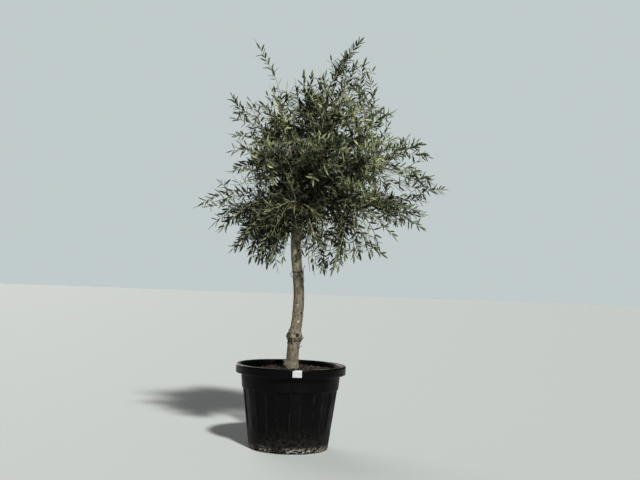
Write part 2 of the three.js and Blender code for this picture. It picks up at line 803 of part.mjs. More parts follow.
function addMesh(name, solid, look) {
  const made = solid.getMesh();
  const geometry = new THREE.BufferGeometry();
  const position = new Float32Array(made.numVert * 3);
  for (let i = 0; i < made.numVert; i++)
    position.set(made.vertProperties.subarray(i * made.numProp, i * made.numProp + 3), i * 3);
  geometry.setAttribute("position", new THREE.BufferAttribute(position, 3));
  geometry.setIndex(new THREE.BufferAttribute(made.triVerts, 1));
  geometry.computeVertexNormals();
  const mesh = new THREE.Mesh(geometry, new THREE.MeshStandardMaterial(look));
  mesh.name = name;
  tree.add(mesh);
}

addLimbs();
addStems();
const limbSpans = spansOf(trunkLine, 20, (t) => trunkRadius(t, 0));
for (const { limb, size } of masses) limbSpans.push(...spansOf(limb, 8, (t) => taperOf(size, t)));
addShoots();

addMesh("pot", potSolid(), LOOKS.pot);
addMesh("soil", soilSolid(), LOOKS.soil);
addMesh("label", labelSolid(), LOOKS.label);
addMesh("trunk", trunkSolid(), LOOKS.trunk);
addMesh("tie", tieSolid(), LOOKS.tie);

// Each limb is cut clear of the trunk and of the limbs before it, so that it is seated on them.
let carried = trunkSolid(TOUCH);
for (const mass of masses) {
  addMesh(`${mass.kind}_${mass.name}`, largest(limbSolid(mass).subtract(carried)), LOOKS[mass.kind]);
  carried = carried.add(limbSolid(mass, TOUCH));
}
for (const mass of masses) addMesh(`foliage_${mass.name}`, foliageSolid(mass), LOOKS.foliage);

export default tree;
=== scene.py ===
"""A potted olive tree: its bark, boughs, twigs, leaves, soil and pot, grown and finished round its frame.

Metres, +Z up, the front faces -Y. The crown grows by one rule: masses of foliage stand in tiers round
its middle, a limb leads to each, a stem goes on from each limb, and shoots leave the stems for tips on
uneven shells. Here each shoot also bears lateral twigs, and all of them bear pairs of leaves.
"""

import json
import math
from types import SimpleNamespace

import bpy
import numpy as np
from mathutils import Matrix, Vector

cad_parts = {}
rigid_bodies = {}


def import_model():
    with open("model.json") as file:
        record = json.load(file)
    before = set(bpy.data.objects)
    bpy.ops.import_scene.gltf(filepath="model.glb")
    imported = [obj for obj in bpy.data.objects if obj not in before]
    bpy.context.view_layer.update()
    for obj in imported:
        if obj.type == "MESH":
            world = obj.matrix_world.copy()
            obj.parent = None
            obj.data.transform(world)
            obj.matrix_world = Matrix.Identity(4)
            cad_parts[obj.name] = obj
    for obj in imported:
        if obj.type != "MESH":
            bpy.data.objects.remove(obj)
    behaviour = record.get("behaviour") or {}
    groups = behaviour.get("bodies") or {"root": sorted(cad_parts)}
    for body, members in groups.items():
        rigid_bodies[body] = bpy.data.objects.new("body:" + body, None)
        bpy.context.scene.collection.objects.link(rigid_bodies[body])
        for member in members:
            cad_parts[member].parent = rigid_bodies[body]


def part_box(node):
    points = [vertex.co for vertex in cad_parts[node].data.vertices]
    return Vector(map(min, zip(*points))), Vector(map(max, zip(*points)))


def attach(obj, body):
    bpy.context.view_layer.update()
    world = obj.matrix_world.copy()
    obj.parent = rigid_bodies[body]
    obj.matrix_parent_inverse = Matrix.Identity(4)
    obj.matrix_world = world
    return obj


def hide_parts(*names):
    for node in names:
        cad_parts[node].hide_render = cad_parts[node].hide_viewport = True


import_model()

bl_info = {
    "name": "Potted olive tree",
    "version": (1, 0, 0),
    "blender": (4, 5, 0),
    "location": "View3D > Sidebar > Olive",
    "description": "Grows the bark, twigs, leaves, soil and pot of an olive tree round its frame",
    "category": "Add Mesh",
}

TURN = 2 * math.pi
UP = np.array([0.0, 0.0, 1.0])
BACK = np.array([0.0, 1.0, 0.0])
STEEP = 0.8  # a line whose heading rises by more than this share is taken as upright
GOLDEN_TURN = 180 * (3 - math.sqrt(5))  # the golden angle, in degrees
EYE_GAMMA = 2.2  # how a colour as it is seen follows from its light
TINY = 1e-12
JUST_UNDER = 1e-9  # keeps the end of a curve in its last span
# Numbers by chance: a fast sine's rates and height, and large factors that mix the bits of a key
SINE = SimpleNamespace(first=12.9898, second=78.233, height=43758.5453)
SCATTER = (73856093, 19349663, 83492791, 2654435761, 1274126177)
LATTICE_SHIFT = 1000.5  # keeps the noise's lattice off the middle of things
LOW_16, LOW_32 = 0xFFFF, 0xFFFFFFFF
# What each thing that varies by chance starts from
SEED = SimpleNamespace(
    limb=5, hidden_turn=7, hidden_rise=8, hidden_out=9, roll=11, lateral_lean=13, lateral_size=17, tone=23,
    fine_size=31, fine_lean=32, fine_turn=33, thin_between=41, thin_laterals=42, thin_fine=43,
    limb_shoot=51, limb_shoot_length=52, shoot_leaves=71, lateral_leaves=72, fine_leaves=73,
    open_leaves=74, leaf_shape=80, leaf_tone=580, grain=3, lumps=9, pits=21, wobble=31, ledge=17,
    dents=5, clods=40, grit=50, crumbs=61, chips=62, creases=8, limb_lumps=12, wander=2, stub_wander=5,
)
POT_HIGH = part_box("pot")[1]
TRUNK_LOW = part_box("trunk")[0]


# The sizes and colours that a user would change


def seen(red, green, blue):
    """A colour as it is seen, from 0 to 255, as light."""
    return tuple((np.array([red, green, blue]) / 255) ** EYE_GAMMA)


def length_of(name, description, default):
    return bpy.props.FloatProperty(
        name=name, description=description, default=default, precision=4, unit="LENGTH"
    )


def share_of(name, description, default):
    return bpy.props.FloatProperty(
        name=name, description=description, default=default, min=0, max=1, subtype="FACTOR"
    )


def colour_of(name, description, default):
    """A colour that is given as it is seen."""
    return bpy.props.FloatVectorProperty(
        name=name, description=description, default=seen(*default), size=3, min=0, max=1, subtype="COLOR"
    )


class OlivePot(bpy.types.PropertyGroup):
    """The nursery pot, its label and its soil"""

    height: length_of("Height", "From the ground to the top of the lip", POT_HIGH.z)
    lip_radius: length_of("Lip radius", "Outer radius of the lip", POT_HIGH.x)
    base_radius: length_of("Base radius", "Radius of the wall where it meets the foot", 0.175)
    flute_depth: length_of("Flute depth", "How deep the flutes between the ribs are", 0.005)
    crumbs: bpy.props.IntProperty(
        name="Crumbs", description="Loose pieces of bark and clods on the soil", default=2600
    )
    plastic: colour_of("Plastic", "Colour of the moulded plastic", (3, 3, 4))
    dust: colour_of("Dust", "Colour of the dust on the foot", (112, 109, 102))
    soil: colour_of("Soil", "Colour of the compost", (28, 23, 19))


class OliveBark(bpy.types.PropertyGroup):
    """The trunk, boughs and limbs"""

    foot_radius: length_of("Foot radius", "Radius of the trunk at the soil", 0.0275)
    waist_radius: length_of("Waist radius", "Radius of the trunk under its head", 0.0223)
    fissures: length_of("Fissures", "Depth of the furrows in the trunk's bark", 0.0009)
    lumps: length_of("Lumps", "Height of the trunk's broad lumps", 0.0012)
    pale: colour_of("Pale bark", "Colour of the ridges", (109, 103, 91))
    dark: colour_of("Dark bark", "Colour of the furrows", (83, 77, 67))
    young: colour_of("Young bark", "Colour of twigs", (138, 138, 106))


class OliveCrown(bpy.types.PropertyGroup):
    """The shape of the crown"""

    centre: bpy.props.FloatVectorProperty(
        name="Centre", description="Middle of the crown", default=(0.1, 0, 1.25), subtype="XYZ"
    )
    half_width: length_of("Half width", "From the centre to the side", 0.41)
    half_depth: length_of("Half depth", "From the centre to the front", 0.4)
    half_height: length_of("Half height", "From the centre to the top", 0.42)


class OliveLeaves(bpy.types.PropertyGroup):
    """The leaves and how they stand"""

    length: length_of("Length", "Length of a full-grown leaf", 0.0365)
    width: length_of("Width", "Width of a full-grown leaf", 0.0091)
    spacing: length_of("Spacing", "From one pair of leaves to the next", 0.0146)
    fold: share_of("Fold", "How far the midrib lies under the edges, as a share of the width", 0.16)
    droop: share_of("Droop", "How far the tip bends down, as a share of the length", 0.1)
    missing: share_of("Missing", "Share of the leaves that have fallen", 0.08)
    # The upper sides are painted in tones from shade to sunlight between these two
    upper_dark: colour_of("Shaded leaf", "Upper side of the darkest leaves", (14, 18, 4))
    upper_light: colour_of("Sunlit leaf", "Upper side of the lightest leaves", (134, 143, 105))
    under: colour_of("Underside", "Silvery underside", (120, 130, 103))


# Numbers by chance, noise and curves


def chance(first, second):
    """From 0 to 1, always the same for the same two numbers: the fraction left of a very fast sine."""
    wave = np.sin(first * SINE.first + second * SINE.second) * SINE.height
    return wave - np.floor(wave)


def sway(first, second):
    """From -0.5 to 0.5, by chance."""
    return chance(first, second) - 0.5


def noise(places, size, seed=0):
    """Smooth noise from -1 to 1: each corner of a lattice has a value by chance, and a place takes the
    mean of the eight corners round it, weighted by the smooth step of how near each one is."""
    spots = places / size + LATTICE_SHIFT
    cell = np.floor(spots).astype(np.int64)
    part = spots - cell
    near = part * part * (3 - 2 * part)
    total = np.zeros(places.shape[:-1])
    for corner in np.ndindex(2, 2, 2):
        x, y, z = np.moveaxis(cell + np.array(corner), -1, 0)
        key = (x * SCATTER[0]) ^ (y * SCATTER[1]) ^ (z * SCATTER[2]) ^ ((seed + 1) * SCATTER[3])
        key = (key ^ (key >> 13)) * SCATTER[4] & LOW_32
        value = ((key ^ (key >> 16)) & LOW_16) / (LOW_16 / 2) - 1
        total += value * np.prod(np.where(corner, near, 1 - near), axis=-1)
    return total


def rough(places, size, octaves, seed=0):
    """Noise plus noise of half its size and height, and so on."""
    return sum(noise(places, size / 2**k, seed + k) / 2**k for k in range(octaves))


def bump_at(value, middle, reach, power=2):
    """A bell: 1 in the middle, and falling with a power of the distance over its reach."""
    return np.exp(-(((value - middle) / reach) ** power))


def part_way(low, high, share):
    """What lies a share of the way from low to high."""
    return low + (high - low) * share


def smooth(value, low, high):
    """The smooth step from 0 at low to 1 at high."""
    part = np.clip((value - low) / (high - low), 0, 1)
    return part * part * (3 - 2 * part)


def unit(arrows):
    return arrows / np.maximum(np.linalg.norm(arrows, axis=-1, keepdims=True), TINY)


def even_turns(count):
    """Turns at even steps all round, in radians."""
    return np.arange(count) * TURN / count


def about_axis(radius, turn, height):
    """Places round the upright axis, from their distance, turn and height."""
    return np.stack(np.broadcast_arrays(radius * np.cos(turn), radius * np.sin(turn), height), axis=-1)


def counted(counts):
    """As many entries as each of several owners counts: the owner of each entry, and its number there."""
    owner = np.repeat(np.arange(len(counts)), counts)
    return owner, np.arange(len(owner)) - np.repeat(np.cumsum(counts) - counts, counts)


def turned(first, second):
    """The turn in degrees from the second direction to the first, from -180 to 180."""
    return (first - second + 180) % 360 - 180


def dot(first, second):
    return np.sum(first * second, axis=-1)


def across(whole, heading):
    """The upper and the side direction across a heading, on a line that runs along whole: both keep
    their sense along the line, because they are square to the same level direction."""
    steep = np.abs(whole[..., 2:3]) > STEEP
    level = np.cross(whole, np.where(steep, BACK, UP))
    above = unit(np.cross(level, heading))
    return above, np.cross(heading, above)


def bend_at(lines, share):
    """Places on curves of three controls, each control weighted by the powers of the share along."""
    t = np.asarray(share)[..., None]
    start, bend, end = lines[..., 0, :], lines[..., 1, :], lines[..., 2, :]
    return (1 - t) ** 2 * start + 2 * t * (1 - t) * bend + t**2 * end


def heading_at(lines, share):
    """The headings of such curves: their slopes, made one long."""
    t = np.asarray(share)[..., None]
    start, bend, end = lines[..., 0, :], lines[..., 1, :], lines[..., 2, :]
    return unit((1 - t) * (bend - start) + t * (end - bend))


def through(points, shares):
    """Places on a smooth curve through points: between two of them it is a cubic whose slopes come from
    the points on both sides, with the square root of each span's length as its pace."""
    points = np.asarray(points, float)
    every = np.vstack([2 * points[0] - points[1], points, 2 * points[-1] - points[-2]])
    spans = len(points) - 1
    along = np.clip(np.asarray(shares) * spans, 0, spans - JUST_UNDER)
    index = np.floor(along).astype(int)
    part = (along - index)[:, None]
    a, b, c, d = (every[index + step] for step in range(4))
    pairs = ((a, b), (b, c), (c, d))
    before, here, after = (np.sqrt(np.linalg.norm(q - p, axis=1))[:, None] for p, q in pairs)
    slope_b = ((b - a) / before - (c - a) / (before + here) + (c - b) / here) * here
    slope_c = ((c - b) / here - (d - b) / (here + after) + (d - c) / after) * here
    cubic = 2 * b - 2 * c + slope_b + slope_c
    square = -3 * b + 3 * c - 2 * slope_b - slope_c
    return ((cubic * part + square) * part + slope_b) * part + b


# Meshes


def make_piece(name, corners, quads=(), triangles=(), looks=None, smoothed=True):
    """A mesh object from arrays: corners, faces of four and of three, and each face's material."""
    corners = np.asarray(corners, np.float32).reshape(-1, 3)
    quads = np.asarray(quads, np.int32).reshape(-1, 4)
    triangles = np.asarray(triangles, np.int32).reshape(-1, 3)
    sides = np.repeat(np.array([4, 3], np.int32), [len(quads), len(triangles)])
    mesh = bpy.data.meshes.new(name)
    mesh.vertices.add(len(corners))
    mesh.vertices.foreach_set("co", corners.ravel())
    mesh.loops.add(int(sides.sum()))
    mesh.loops.foreach_set("vertex_index", np.concatenate([quads.ravel(), triangles.ravel()]))
    mesh.polygons.add(len(sides))
    mesh.polygons.foreach_set("loop_start", np.concatenate([[0], np.cumsum(sides)[:-1]]).astype(np.int32))
    mesh.polygons.foreach_set("use_smooth", np.full(len(sides), smoothed))
    if looks is not None:
        mesh.polygons.foreach_set("material_index", np.asarray(looks, np.int32))
    mesh.update(calc_edges=True)
    piece = bpy.data.objects.new(name, mesh)
    bpy.context.scene.collection.objects.link(piece)
    return piece


def finish_piece(piece, materials, nodes=()):
    """Gives a piece its materials, hides the frame's nodes that it stands for, and lets it ride."""
    for material in materials:
        piece.data.materials.append(material)
    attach(piece, "root")
    if nodes:
        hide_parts(*nodes)


def mark(piece, name, values):
    """Keeps a number for each corner of a piece, which its material reads by name."""
    kept = piece.data.attributes.new(name, "FLOAT", "POINT")
    kept.data.foreach_set("value", np.asarray(values, np.float32).ravel())


def sheet_faces(rows, columns, closed=True):
    """The faces of a grid of corners, row by row, whose columns run round if it is closed."""
    grid = np.arange(rows * columns).reshape(rows, columns)
    if closed:
        grid = np.concatenate([grid, grid[:, :1]], axis=1)
    low, high = grid[:-1], grid[1:]
    return np.stack([low[:, :-1], low[:, 1:], high[:, 1:], high[:, :-1]], -1).reshape(-1, 4)


def end_faces(rows, columns, first, last):
    """The faces that close a grid that runs round by a middle corner at its first and last row."""
    low, high = np.arange(columns), np.arange(columns) + (rows - 1) * columns
    start = np.stack([np.roll(low, -1), low, np.full(columns, first)], -1)
    end = np.stack([high, np.roll(high, -1), np.full(columns, last)], -1)
    return np.concatenate([start, end])


def ring_body(rings):
    """One closed body from rings of corners (rows, columns, 3): (corners, quads, triangles)."""
    rows, columns = rings.shape[:2]
    corners = np.concatenate([rings.reshape(-1, 3), rings[:1].mean(axis=1), rings[-1:].mean(axis=1)])
    count = rows * columns
    return corners, sheet_faces(rows, columns), end_faces(rows, columns, count, count + 1)


def rings_along(centres, radii, sides):
    """Rings round lines: each corner stands its radius away from the middle line, at even turns.
    centres are (lines, steps, 3), and radii (lines, steps) or (lines, steps, sides)."""
    whole = unit(centres[:, -1:] - centres[:, :1])
    heading = unit(np.gradient(centres, axis=1))
    above, side = across(np.broadcast_to(whole, heading.shape), heading)
    turns = even_turns(sides)[:, None]
    out = above[:, :, None] * np.cos(turns) + side[:, :, None] * np.sin(turns)
    if radii.ndim == 2:
        radii = radii[..., None]
    return centres[:, :, None] + radii[..., None] * out


def tubes(name, centres, radii, sides):
    """Closed round tubes along lines, joined in one mesh."""
    rings = rings_along(centres, radii, sides)
    lines, steps = rings.shape[:2]
    body = rings.reshape(lines, -1, 3)
    corners = np.concatenate([body, centres[:, :1], centres[:, -1:]], axis=1)
    each = steps * sides
    starts = np.arange(lines)[:, None, None] * (each + 2)
    quads = sheet_faces(steps, sides) + starts
    triangles = end_faces(steps, sides, each, each + 1) + starts
    return make_piece(name, corners, quads, triangles)


# Finishes


class Finish:
    """A procedural material in the making. Values that are the same all over stand on its shader."""

    def __init__(self, name, colour, roughness, **values):
        self.material = bpy.data.materials.new(name)
        self.material.use_nodes = True
        self.tree = self.material.node_tree
        self.shader = self.tree.nodes["Principled BSDF"]
        self.place = self.add("ShaderNodeTexCoord", {}).outputs["Object"]
        self.laid = colour
        self.shader.inputs["Base Color"].default_value = (*colour, 1)
        self.shader.inputs["Roughness"].default_value = roughness
        for socket, value in values.items():
            self.shader.inputs[socket.replace("_", " ")].default_value = value

    def add(self, kind, values, **settings):
        """A node with its settings, and its sockets linked to outputs or set to values."""
        node = self.tree.nodes.new(kind)
        for name, value in settings.items():
            setattr(node, name, value)
        for socket, value in values.items():
            self.put(node.inputs[socket], value)
        return node

    def put(self, socket, value):
        """Links an output to a socket, or sets the socket."""
        if isinstance(value, bpy.types.NodeSocket):
            self.tree.links.new(value, socket)
        else:
            socket.default_value = value

    def noise(self, scale, detail, stretch=None, distortion=0.0):
        """Noise at the object's places, which may be drawn out or pressed along its axes."""
        place = self.place
        if stretch:
            place = self.add("ShaderNodeMapping", {"Vector": place, "Scale": stretch}).outputs["Vector"]
        values = {"Vector": place, "Scale": scale, "Detail": detail, "Distortion": distortion}
        return self.add("ShaderNodeTexNoise", values).outputs["Fac"]

    def cells(self, scale):
        return self.add("ShaderNodeTexVoronoi", {"Vector": self.place, "Scale": scale}).outputs["Distance"]

    def kept(self, name):
        """The number that a piece keeps for each corner under this name."""
        return self.add("ShaderNodeAttribute", {}, attribute_name=name).outputs["Fac"]

    def height(self):
        return self.add("ShaderNodeSeparateXYZ", {"Vector": self.place}).outputs["Z"]

    def step(self, value, low, high, to_low=0.0, to_high=1.0):
        """A smooth step of a value."""
        values = {"Value": value, "From Min": low, "From Max": high, "To Min": to_low, "To Max": to_high}
        return self.add("ShaderNodeMapRange", values, interpolation_type="SMOOTHSTEP").outputs["Result"]

    def patches(self, scale, detail, low, high, to_low=0.0, to_high=1.0, **more):
        """A smooth step of noise."""
        return self.step(self.noise(scale, detail, **more), low, high, to_low, to_high)

    def combine(self, operation, first, *others):
        for other in others:
            first = self.add("ShaderNodeMath", {0: first, 1: other}, operation=operation).outputs["Value"]
        return first

    def times(self, *factors):
        return self.combine("MULTIPLY", *factors)

    def mix(self, share, *colours):
        """A colour between two: each is a colour or an output."""
        ends = (c if isinstance(c, bpy.types.NodeSocket) else (*c, 1) for c in colours)
        values = dict(zip((0, 6, 7), (share, *ends)))
        return self.add("ShaderNodeMix", values, data_type="RGBA").outputs[2]

    def lay(self, share, colour, over=None):
        """Lays a colour by a share over those that the finish has so far, or over another one."""
        self.laid = self.mix(share, self.laid if over is None else over, colour)
        self.put(self.shader.inputs["Base Color"], self.laid)

    def relief(self, height, distance, strength=1.0):
        values = {"Height": height, "Distance": distance, "Strength": strength}
        self.put(self.shader.inputs["Normal"], self.add("ShaderNodeBump", values).outputs["Normal"])


def grained(name, colour, roughness, scale, detail, depth, strength=1.0, **values):
    """A plain colour with a fine grain in its relief."""
    finish = Finish(name, colour, roughness, **values)
    finish.relief(finish.noise(scale, detail), depth, strength)
    return finish.material


# The finishes' own tints
TINT = SimpleNamespace(
    lichen=seen(118, 114, 94), speck=seen(62, 54, 42), young_dark=seen(118, 118, 92),
    # The furrows' tint also paints the shadow under the knob's ledge
    young_pale=seen(160, 158, 134), furrow=seen(66, 58, 46), hollow=seen(20, 15, 11),
    scar=seen(162, 152, 130), twig_dark=seen(96, 90, 68), dead_wood=seen(46, 40, 34),
    # The pale grey on the pot's rib edges stands for scuffs and a painted highlight
    film=seen(12, 12, 12), scuff_and_highlight=seen(60, 61, 62), splashed=seen(138, 135, 126),
    damp=seen(44, 33, 26), fibre=seen(122, 76, 54), paper=seen(158, 162, 164), grime=seen(122, 124, 121),
    wire=seen(22, 23, 22),
)
CRUMB_TINTS = {"Dark crumbs": (16, 14, 12), "Brown crumbs": (30, 25, 21), "Red crumbs": (46, 34, 28)}
CHIP_TINTS = {"Bark chips": (56, 42, 34), "Stones": (62, 57, 50)}


def bark_finish(name, bark, aged):
    """Bark: pale ridges over darker furrows, drawn out along the stem, with fine specks and, on the trunk,
    the dark hollows, the shadow painted under the knob's ledge and the pale scars that the mesh keeps."""
    finish = Finish(name, bark.pale, 0.85)
    streaks = finish.noise(95, 6, (1, 1, 0.65), 0.9)
    specks = finish.cells(520)
    shade = finish.step(streaks, 0.4, 0.6)
    finish.lay(shade, bark.pale, over=bark.dark)
    finish.lay(finish.patches(30, 4, 0.5, 0.72, 0, 0.5, stretch=(1, 1, 0.6)), TINT.lichen)
    finish.lay(finish.step(specks, 0.16, 0.05, 0, 0.55), TINT.speck)
    if aged:
        # The upper part is younger, paler and greener
        young = finish.step(finish.height(), *TRUNK.young, 0, 0.6)
        finish.lay(young, finish.mix(shade, TINT.young_dark, TINT.young_pale))
        # Darker furrows and pits, and the shadow painted under the knob's ledge
        finish.lay(finish.times(finish.kept("furrow"), 0.45), TINT.furrow)
        finish.lay(finish.kept("hollow"), TINT.hollow)
        finish.lay(finish.kept("scar"), TINT.scar)
    finish.relief(finish.combine("ADD", streaks, finish.step(specks, 0.2, 0.05, 0, -0.4)), 0.0008)
    return finish.material


def twig_finish(bark):
    """Young bark: pale grey-green with darker lengths."""
    finish = Finish("Twig bark", bark.young, 0.75)
    finish.lay(finish.patches(38, 4, 0.3, 0.7), bark.young, over=TINT.twig_dark)
    finish.relief(finish.noise(900, 2), 0.0002)
    return finish.material


# The rule by which the tree grows. The frame's solids grow by it too, without the bends and the finer
# shoots, and with the tips of high_right and hanging_right at another depth.

TRUNK_POINTS = [
    (0.005, -0.001, 0.3263), (0.006, 0.002, 0.425), (0.012, 0.004, 0.5),
    (0.021, 0.006, 0.58), (0.024, 0.006, 0.67), (0.015, 0.002, 0.77),
    (0.004, -0.003, 0.86), (0.001, -0.003, 0.92), (0.009, 0.0, 1.008),
]
# The trunk's heights, and how far its bells reach and swell. Its bark turns young between two heights.
TRUNK = SimpleNamespace(
    foot=TRUNK_LOW.z, top=1.008, flare=0.004, flare_reach=0.03, knob=0.491, knob_reach=0.017,
    knob_swell=0.0065, knob_lobes=0.3, burl=0.366, burl_swell=0.0095, burl_reach=0.012,
    head_swell=0.005, head_below=0.038, head_reach=0.03, fork=0.985, young=(0.66, 0.86),
)
HUB = np.array([0.036, 0, 1.085])  # the middle of the fork, from which the boughs spread
TIERS = [
    SimpleNamespace(name="upper", count=4, turn=15, rise=42, share=0.6, parent="trunk", start=0),
    SimpleNamespace(name="top", count=1, turn=0, rise=90, share=0.5, parent="trunk", start=0),
    SimpleNamespace(name="middle", count=6, turn=30, rise=4, share=0.6, parent="upper", start=0.5),
    SimpleNamespace(name="low", count=5, turn=30, rise=-34, share=0.6, parent="upper", start=0.2),
]
# Boughs, limbs, stems, shoots and sprays of twigs: radii, lengths and spaces in metres, leans in
# degrees, and the rest in shares of the way or the length
BOUGH = SimpleNamespace(radius=0.015, tip=0.0075, bend=0.4, lift=0.22)
LIMB = SimpleNamespace(radius=0.0085, tip=0.005, spread=0.16, onward=0.3, pull=0.45)
LIMB_END = SimpleNamespace(nearest=0.42, step=0.03, farthest=0.9, depth=0.014)
STEM = SimpleNamespace(gap=0.0003, bare=0.06, beyond=0.13, onward=0.4, space=0.006)
SHOOT = SimpleNamespace(space=0.005, lean=55, leader_lean=12, bend=0.42, arch=0.5, shortest=0.06)
SPRAY = SimpleNamespace(length=0.108, of_shoot=0.45, spacing=0.058, first=0.032, last=0.038)
SPRAY_LEAN = SimpleNamespace(middle=44, vary=14, spread=80)
SPRAY_SIZE = SimpleNamespace(least=0.85, vary=0.3)
SHELLS = [
    SimpleNamespace(count=108, share=0.85, vary=0.22, lowest=-72),
    SimpleNamespace(count=36, share=0.45, vary=0.22, lowest=-50),
]
# How much of a shoot of the outer shell, and of one at the crown's edge, bears twigs
OUTER_TWIGS = 0.8
EDGE_TWIGS = 0.62
HANGING_TWIGS = 0.95
# The long shoots that show past the crown: where each ends, and how much of it bears twigs
LONG_SHOOTS = {
    "high_left": (-0.217, -0.06, 1.808, 0.45),
    "high_right": (0.272, -0.1, 1.82, 0.85),
    "high_right_fork": (0.28, -0.06, 1.733, 0.85),
    "shoulder_right": (0.439, 0.06, 1.532, 0.45),
    "shoulder_left": (-0.303, -0.09, 1.553, 0.5),
    "shoulder_left_fork": (-0.324, 0.04, 1.469, 0.5),
    "right": (0.561, -0.06, 1.365, 0.65),
    "right_fork": (0.602, -0.09, 1.223, 0.8),
    "far_right": (0.679, 0.04, 1.175, 0.8),
    "far_right_fork": (0.604, 0.11, 1.059, 0.9),
    "low_right": (0.575, -0.07, 0.974, 0.9),
    "hanging_right": (0.405, -0.12, 0.852, 0.95),
    "hanging_middle": (0.136, -0.2, 0.76, 0.95),
    "hanging_middle_fork": (0.22, -0.15, 0.826, 0.95),
    "hanging_left": (-0.121, -0.16, 0.806, 0.95),
    "low_left": (-0.259, 0.11, 0.857, 0.95),
    "far_left": (-0.457, -0.05, 1.041, 0.85),
    "far_left_fork": (-0.398, 0.05, 0.955, 0.9),
}
# The long shoots that bend otherwise than by the rule: the middle control of each
BENDS = {
    "high_left": (-0.012, -0.06, 1.494),
    "high_right_fork": (0.24, 0.0, 1.62),
    "shoulder_left": (-0.28, -0.07, 1.45),
    "far_left": (-0.25, 0.0, 1.19),
    "right_fork": (0.47, -0.1, 1.17),
    "far_right": (0.5, 0.1, 1.08),
    "hanging_right": (0.27, -0.12, 0.93),
}
# Those on the front and the back, whose depth doesn't show
HIDDEN = SimpleNamespace(count=8, share=1.18, vary=0.16, spread=70, lowest=-30, highest=65, twigs=0.5)
# Finer shoots between those of the source, and those that fill out the crown's foot, sides and top
FINER_SHELLS = [
    SimpleNamespace(count=66, share=0.66, vary=0.2, lowest=-72),
    SimpleNamespace(count=26, share=0.3, vary=0.2, lowest=-60),
]
FINER_FIRST = 400  # the number of the first finer shoot, past all of the source's
EDGE_SHOOTS = [
    (-0.2, -0.08, 0.8), (-0.13, 0.1, 0.78), (-0.07, -0.04, 0.77), (-0.15, -0.2, 0.82),
    (-0.05, -0.15, 0.8), (-0.1, 0.02, 0.83), (0.07, -0.1, 0.78), (-0.26, -0.14, 0.85),
    (-0.3, 0.0, 0.85), (-0.35, -0.08, 0.94), (-0.42, -0.04, 1.05), (-0.37, -0.02, 1.075),
    (0.26, -0.12, 0.82), (0.34, 0.02, 0.84), (0.14, 0.2, 0.79), (0.02, 0.24, 0.83),
    (-0.2, 0.22, 0.86), (0.3, 0.2, 0.86), (0.46, 0.06, 0.93), (0.5, -0.1, 1.08),
    (0.55, 0.03, 1.14), (0.56, -0.1, 1.06), (0.59, 0.0, 1.11), (0.48, -0.16, 0.99),
    (0.57, -0.12, 1.16), (0.58, 0.08, 1.05), (-0.24, -0.2, 0.86), (-0.18, 0.04, 0.81),
    (-0.22, 0.12, 0.84), (-0.28, 0.06, 0.88), (-0.12, -0.12, 0.8), (-0.33, -0.18, 0.93),
    (-0.08, -0.1, 1.63), (-0.03, 0.08, 1.66), (0.01, -0.02, 1.69), (0.05, -0.06, 1.68),
    (0.1, 0.1, 1.7), (0.16, -0.12, 1.66), (0.2, 0.02, 1.73), (0.25, -0.02, 1.74),
    (0.22, 0.08, 1.79), (0.29, 0.02, 1.7), (-0.02, -0.14, 1.6), (-0.3, 0.0, 1.37),
    (-0.32, -0.08, 1.29), (-0.31, 0.04, 1.21), (-0.36, 0.05, 1.13), (0.08, -0.2, 1.62),
    (0.02, 0.22, 1.58), (0.18, 0.24, 1.6), (0.1, -0.14, 0.79), (0.17, -0.2, 0.79),
    (0.2, -0.08, 0.81), (0.13, -0.04, 0.78), (0.18, -0.28, 0.82), (0.34, -0.14, 0.85),
    (0.62, 0.0, 1.18), (0.6, -0.06, 1.3), (0.5, -0.05, 1.2), (0.53, 0.08, 1.21),
    (0.47, -0.16, 1.2), (0.5, 0.16, 1.17), (0.56, -0.03, 1.2), (0.44, 0.1, 1.17),
]
# Those that hang from the crown's foot, with twigs down to their ends
HANGING_SHOOTS = [
    (0.09, -0.09, 0.765), (0.16, -0.15, 0.76), (0.19, -0.1, 0.775), (0.12, 0.06, 0.77),
    (-0.14, -0.1, 0.795), (-0.17, 0.08, 0.8), (-0.1, -0.18, 0.8), (0.38, -0.05, 0.87),
    (0.3, 0.1, 0.84),
]
# Pale shoots with leaves at their ends alone, which arch over the front and the back
BARE_SHOOTS = [
    (-0.1, -0.3, 0.91), (0.25, -0.33, 0.96), (-0.26, -0.2, 1.0), (-0.12, -0.37, 1.22),
    (0.24, -0.4, 1.26), (0.0, 0.36, 0.95), (0.26, 0.34, 1.02), (-0.24, 0.28, 1.04),
]
OUTLINE_SHOOTS = BARE_SHOOTS + EDGE_SHOOTS + HANGING_SHOOTS  # the first of the finer shoots
# Short shoots on the boughs and limbs
LIMB_SHOOTS = SimpleNamespace(
    count=6, first=0.42, last=0.97, stray=0.8, length=0.16, vary=0.07, lean=62, lift=0.25, index=700,
)


def trunk_radius(height, turn, bark):
    """The trunk's radius at a height and a turn from the back to the left: a steady taper, plus bells
    for the flare at the soil, the burl on the left, the pruned knob and the swollen head."""
    rise = np.maximum(0, height - TRUNK.foot) / (TRUNK.top - TRUNK.foot)
    taper = part_way(bark.waist_radius, bark.foot_radius, (1 - rise) ** 2)
    left = np.maximum(0, np.sin(turn))
    uneven = 1 + TRUNK.knob_lobes * np.cos(3 * turn)
    return (
        taper
        + TRUNK.flare * bump_at(height, TRUNK.foot, TRUNK.flare_reach)
        + TRUNK.burl_swell * bump_at(height, TRUNK.burl, TRUNK.burl_reach) * left**3
        + TRUNK.knob_swell * bump_at(height, TRUNK.knob, TRUNK.knob_reach) * uneven
        + TRUNK.head_swell * bump_at(height, TRUNK.top - TRUNK.head_below, TRUNK.head_reach)
    )


def crown_place(crown, turn, rise, share):
    """A place in the crown from its turn and rise in degrees and its share of the way out."""
    turn, rise = np.radians(turn), np.radians(rise)
    way = np.stack(
        [
            crown.half_width * np.cos(rise) * np.cos(turn),
            crown.half_depth * np.cos(rise) * np.sin(turn),
            crown.half_height * np.sin(rise) + 0 * turn,
        ],
        axis=-1,
    )
    return np.array(crown.centre) + np.asarray(share)[..., None] * way


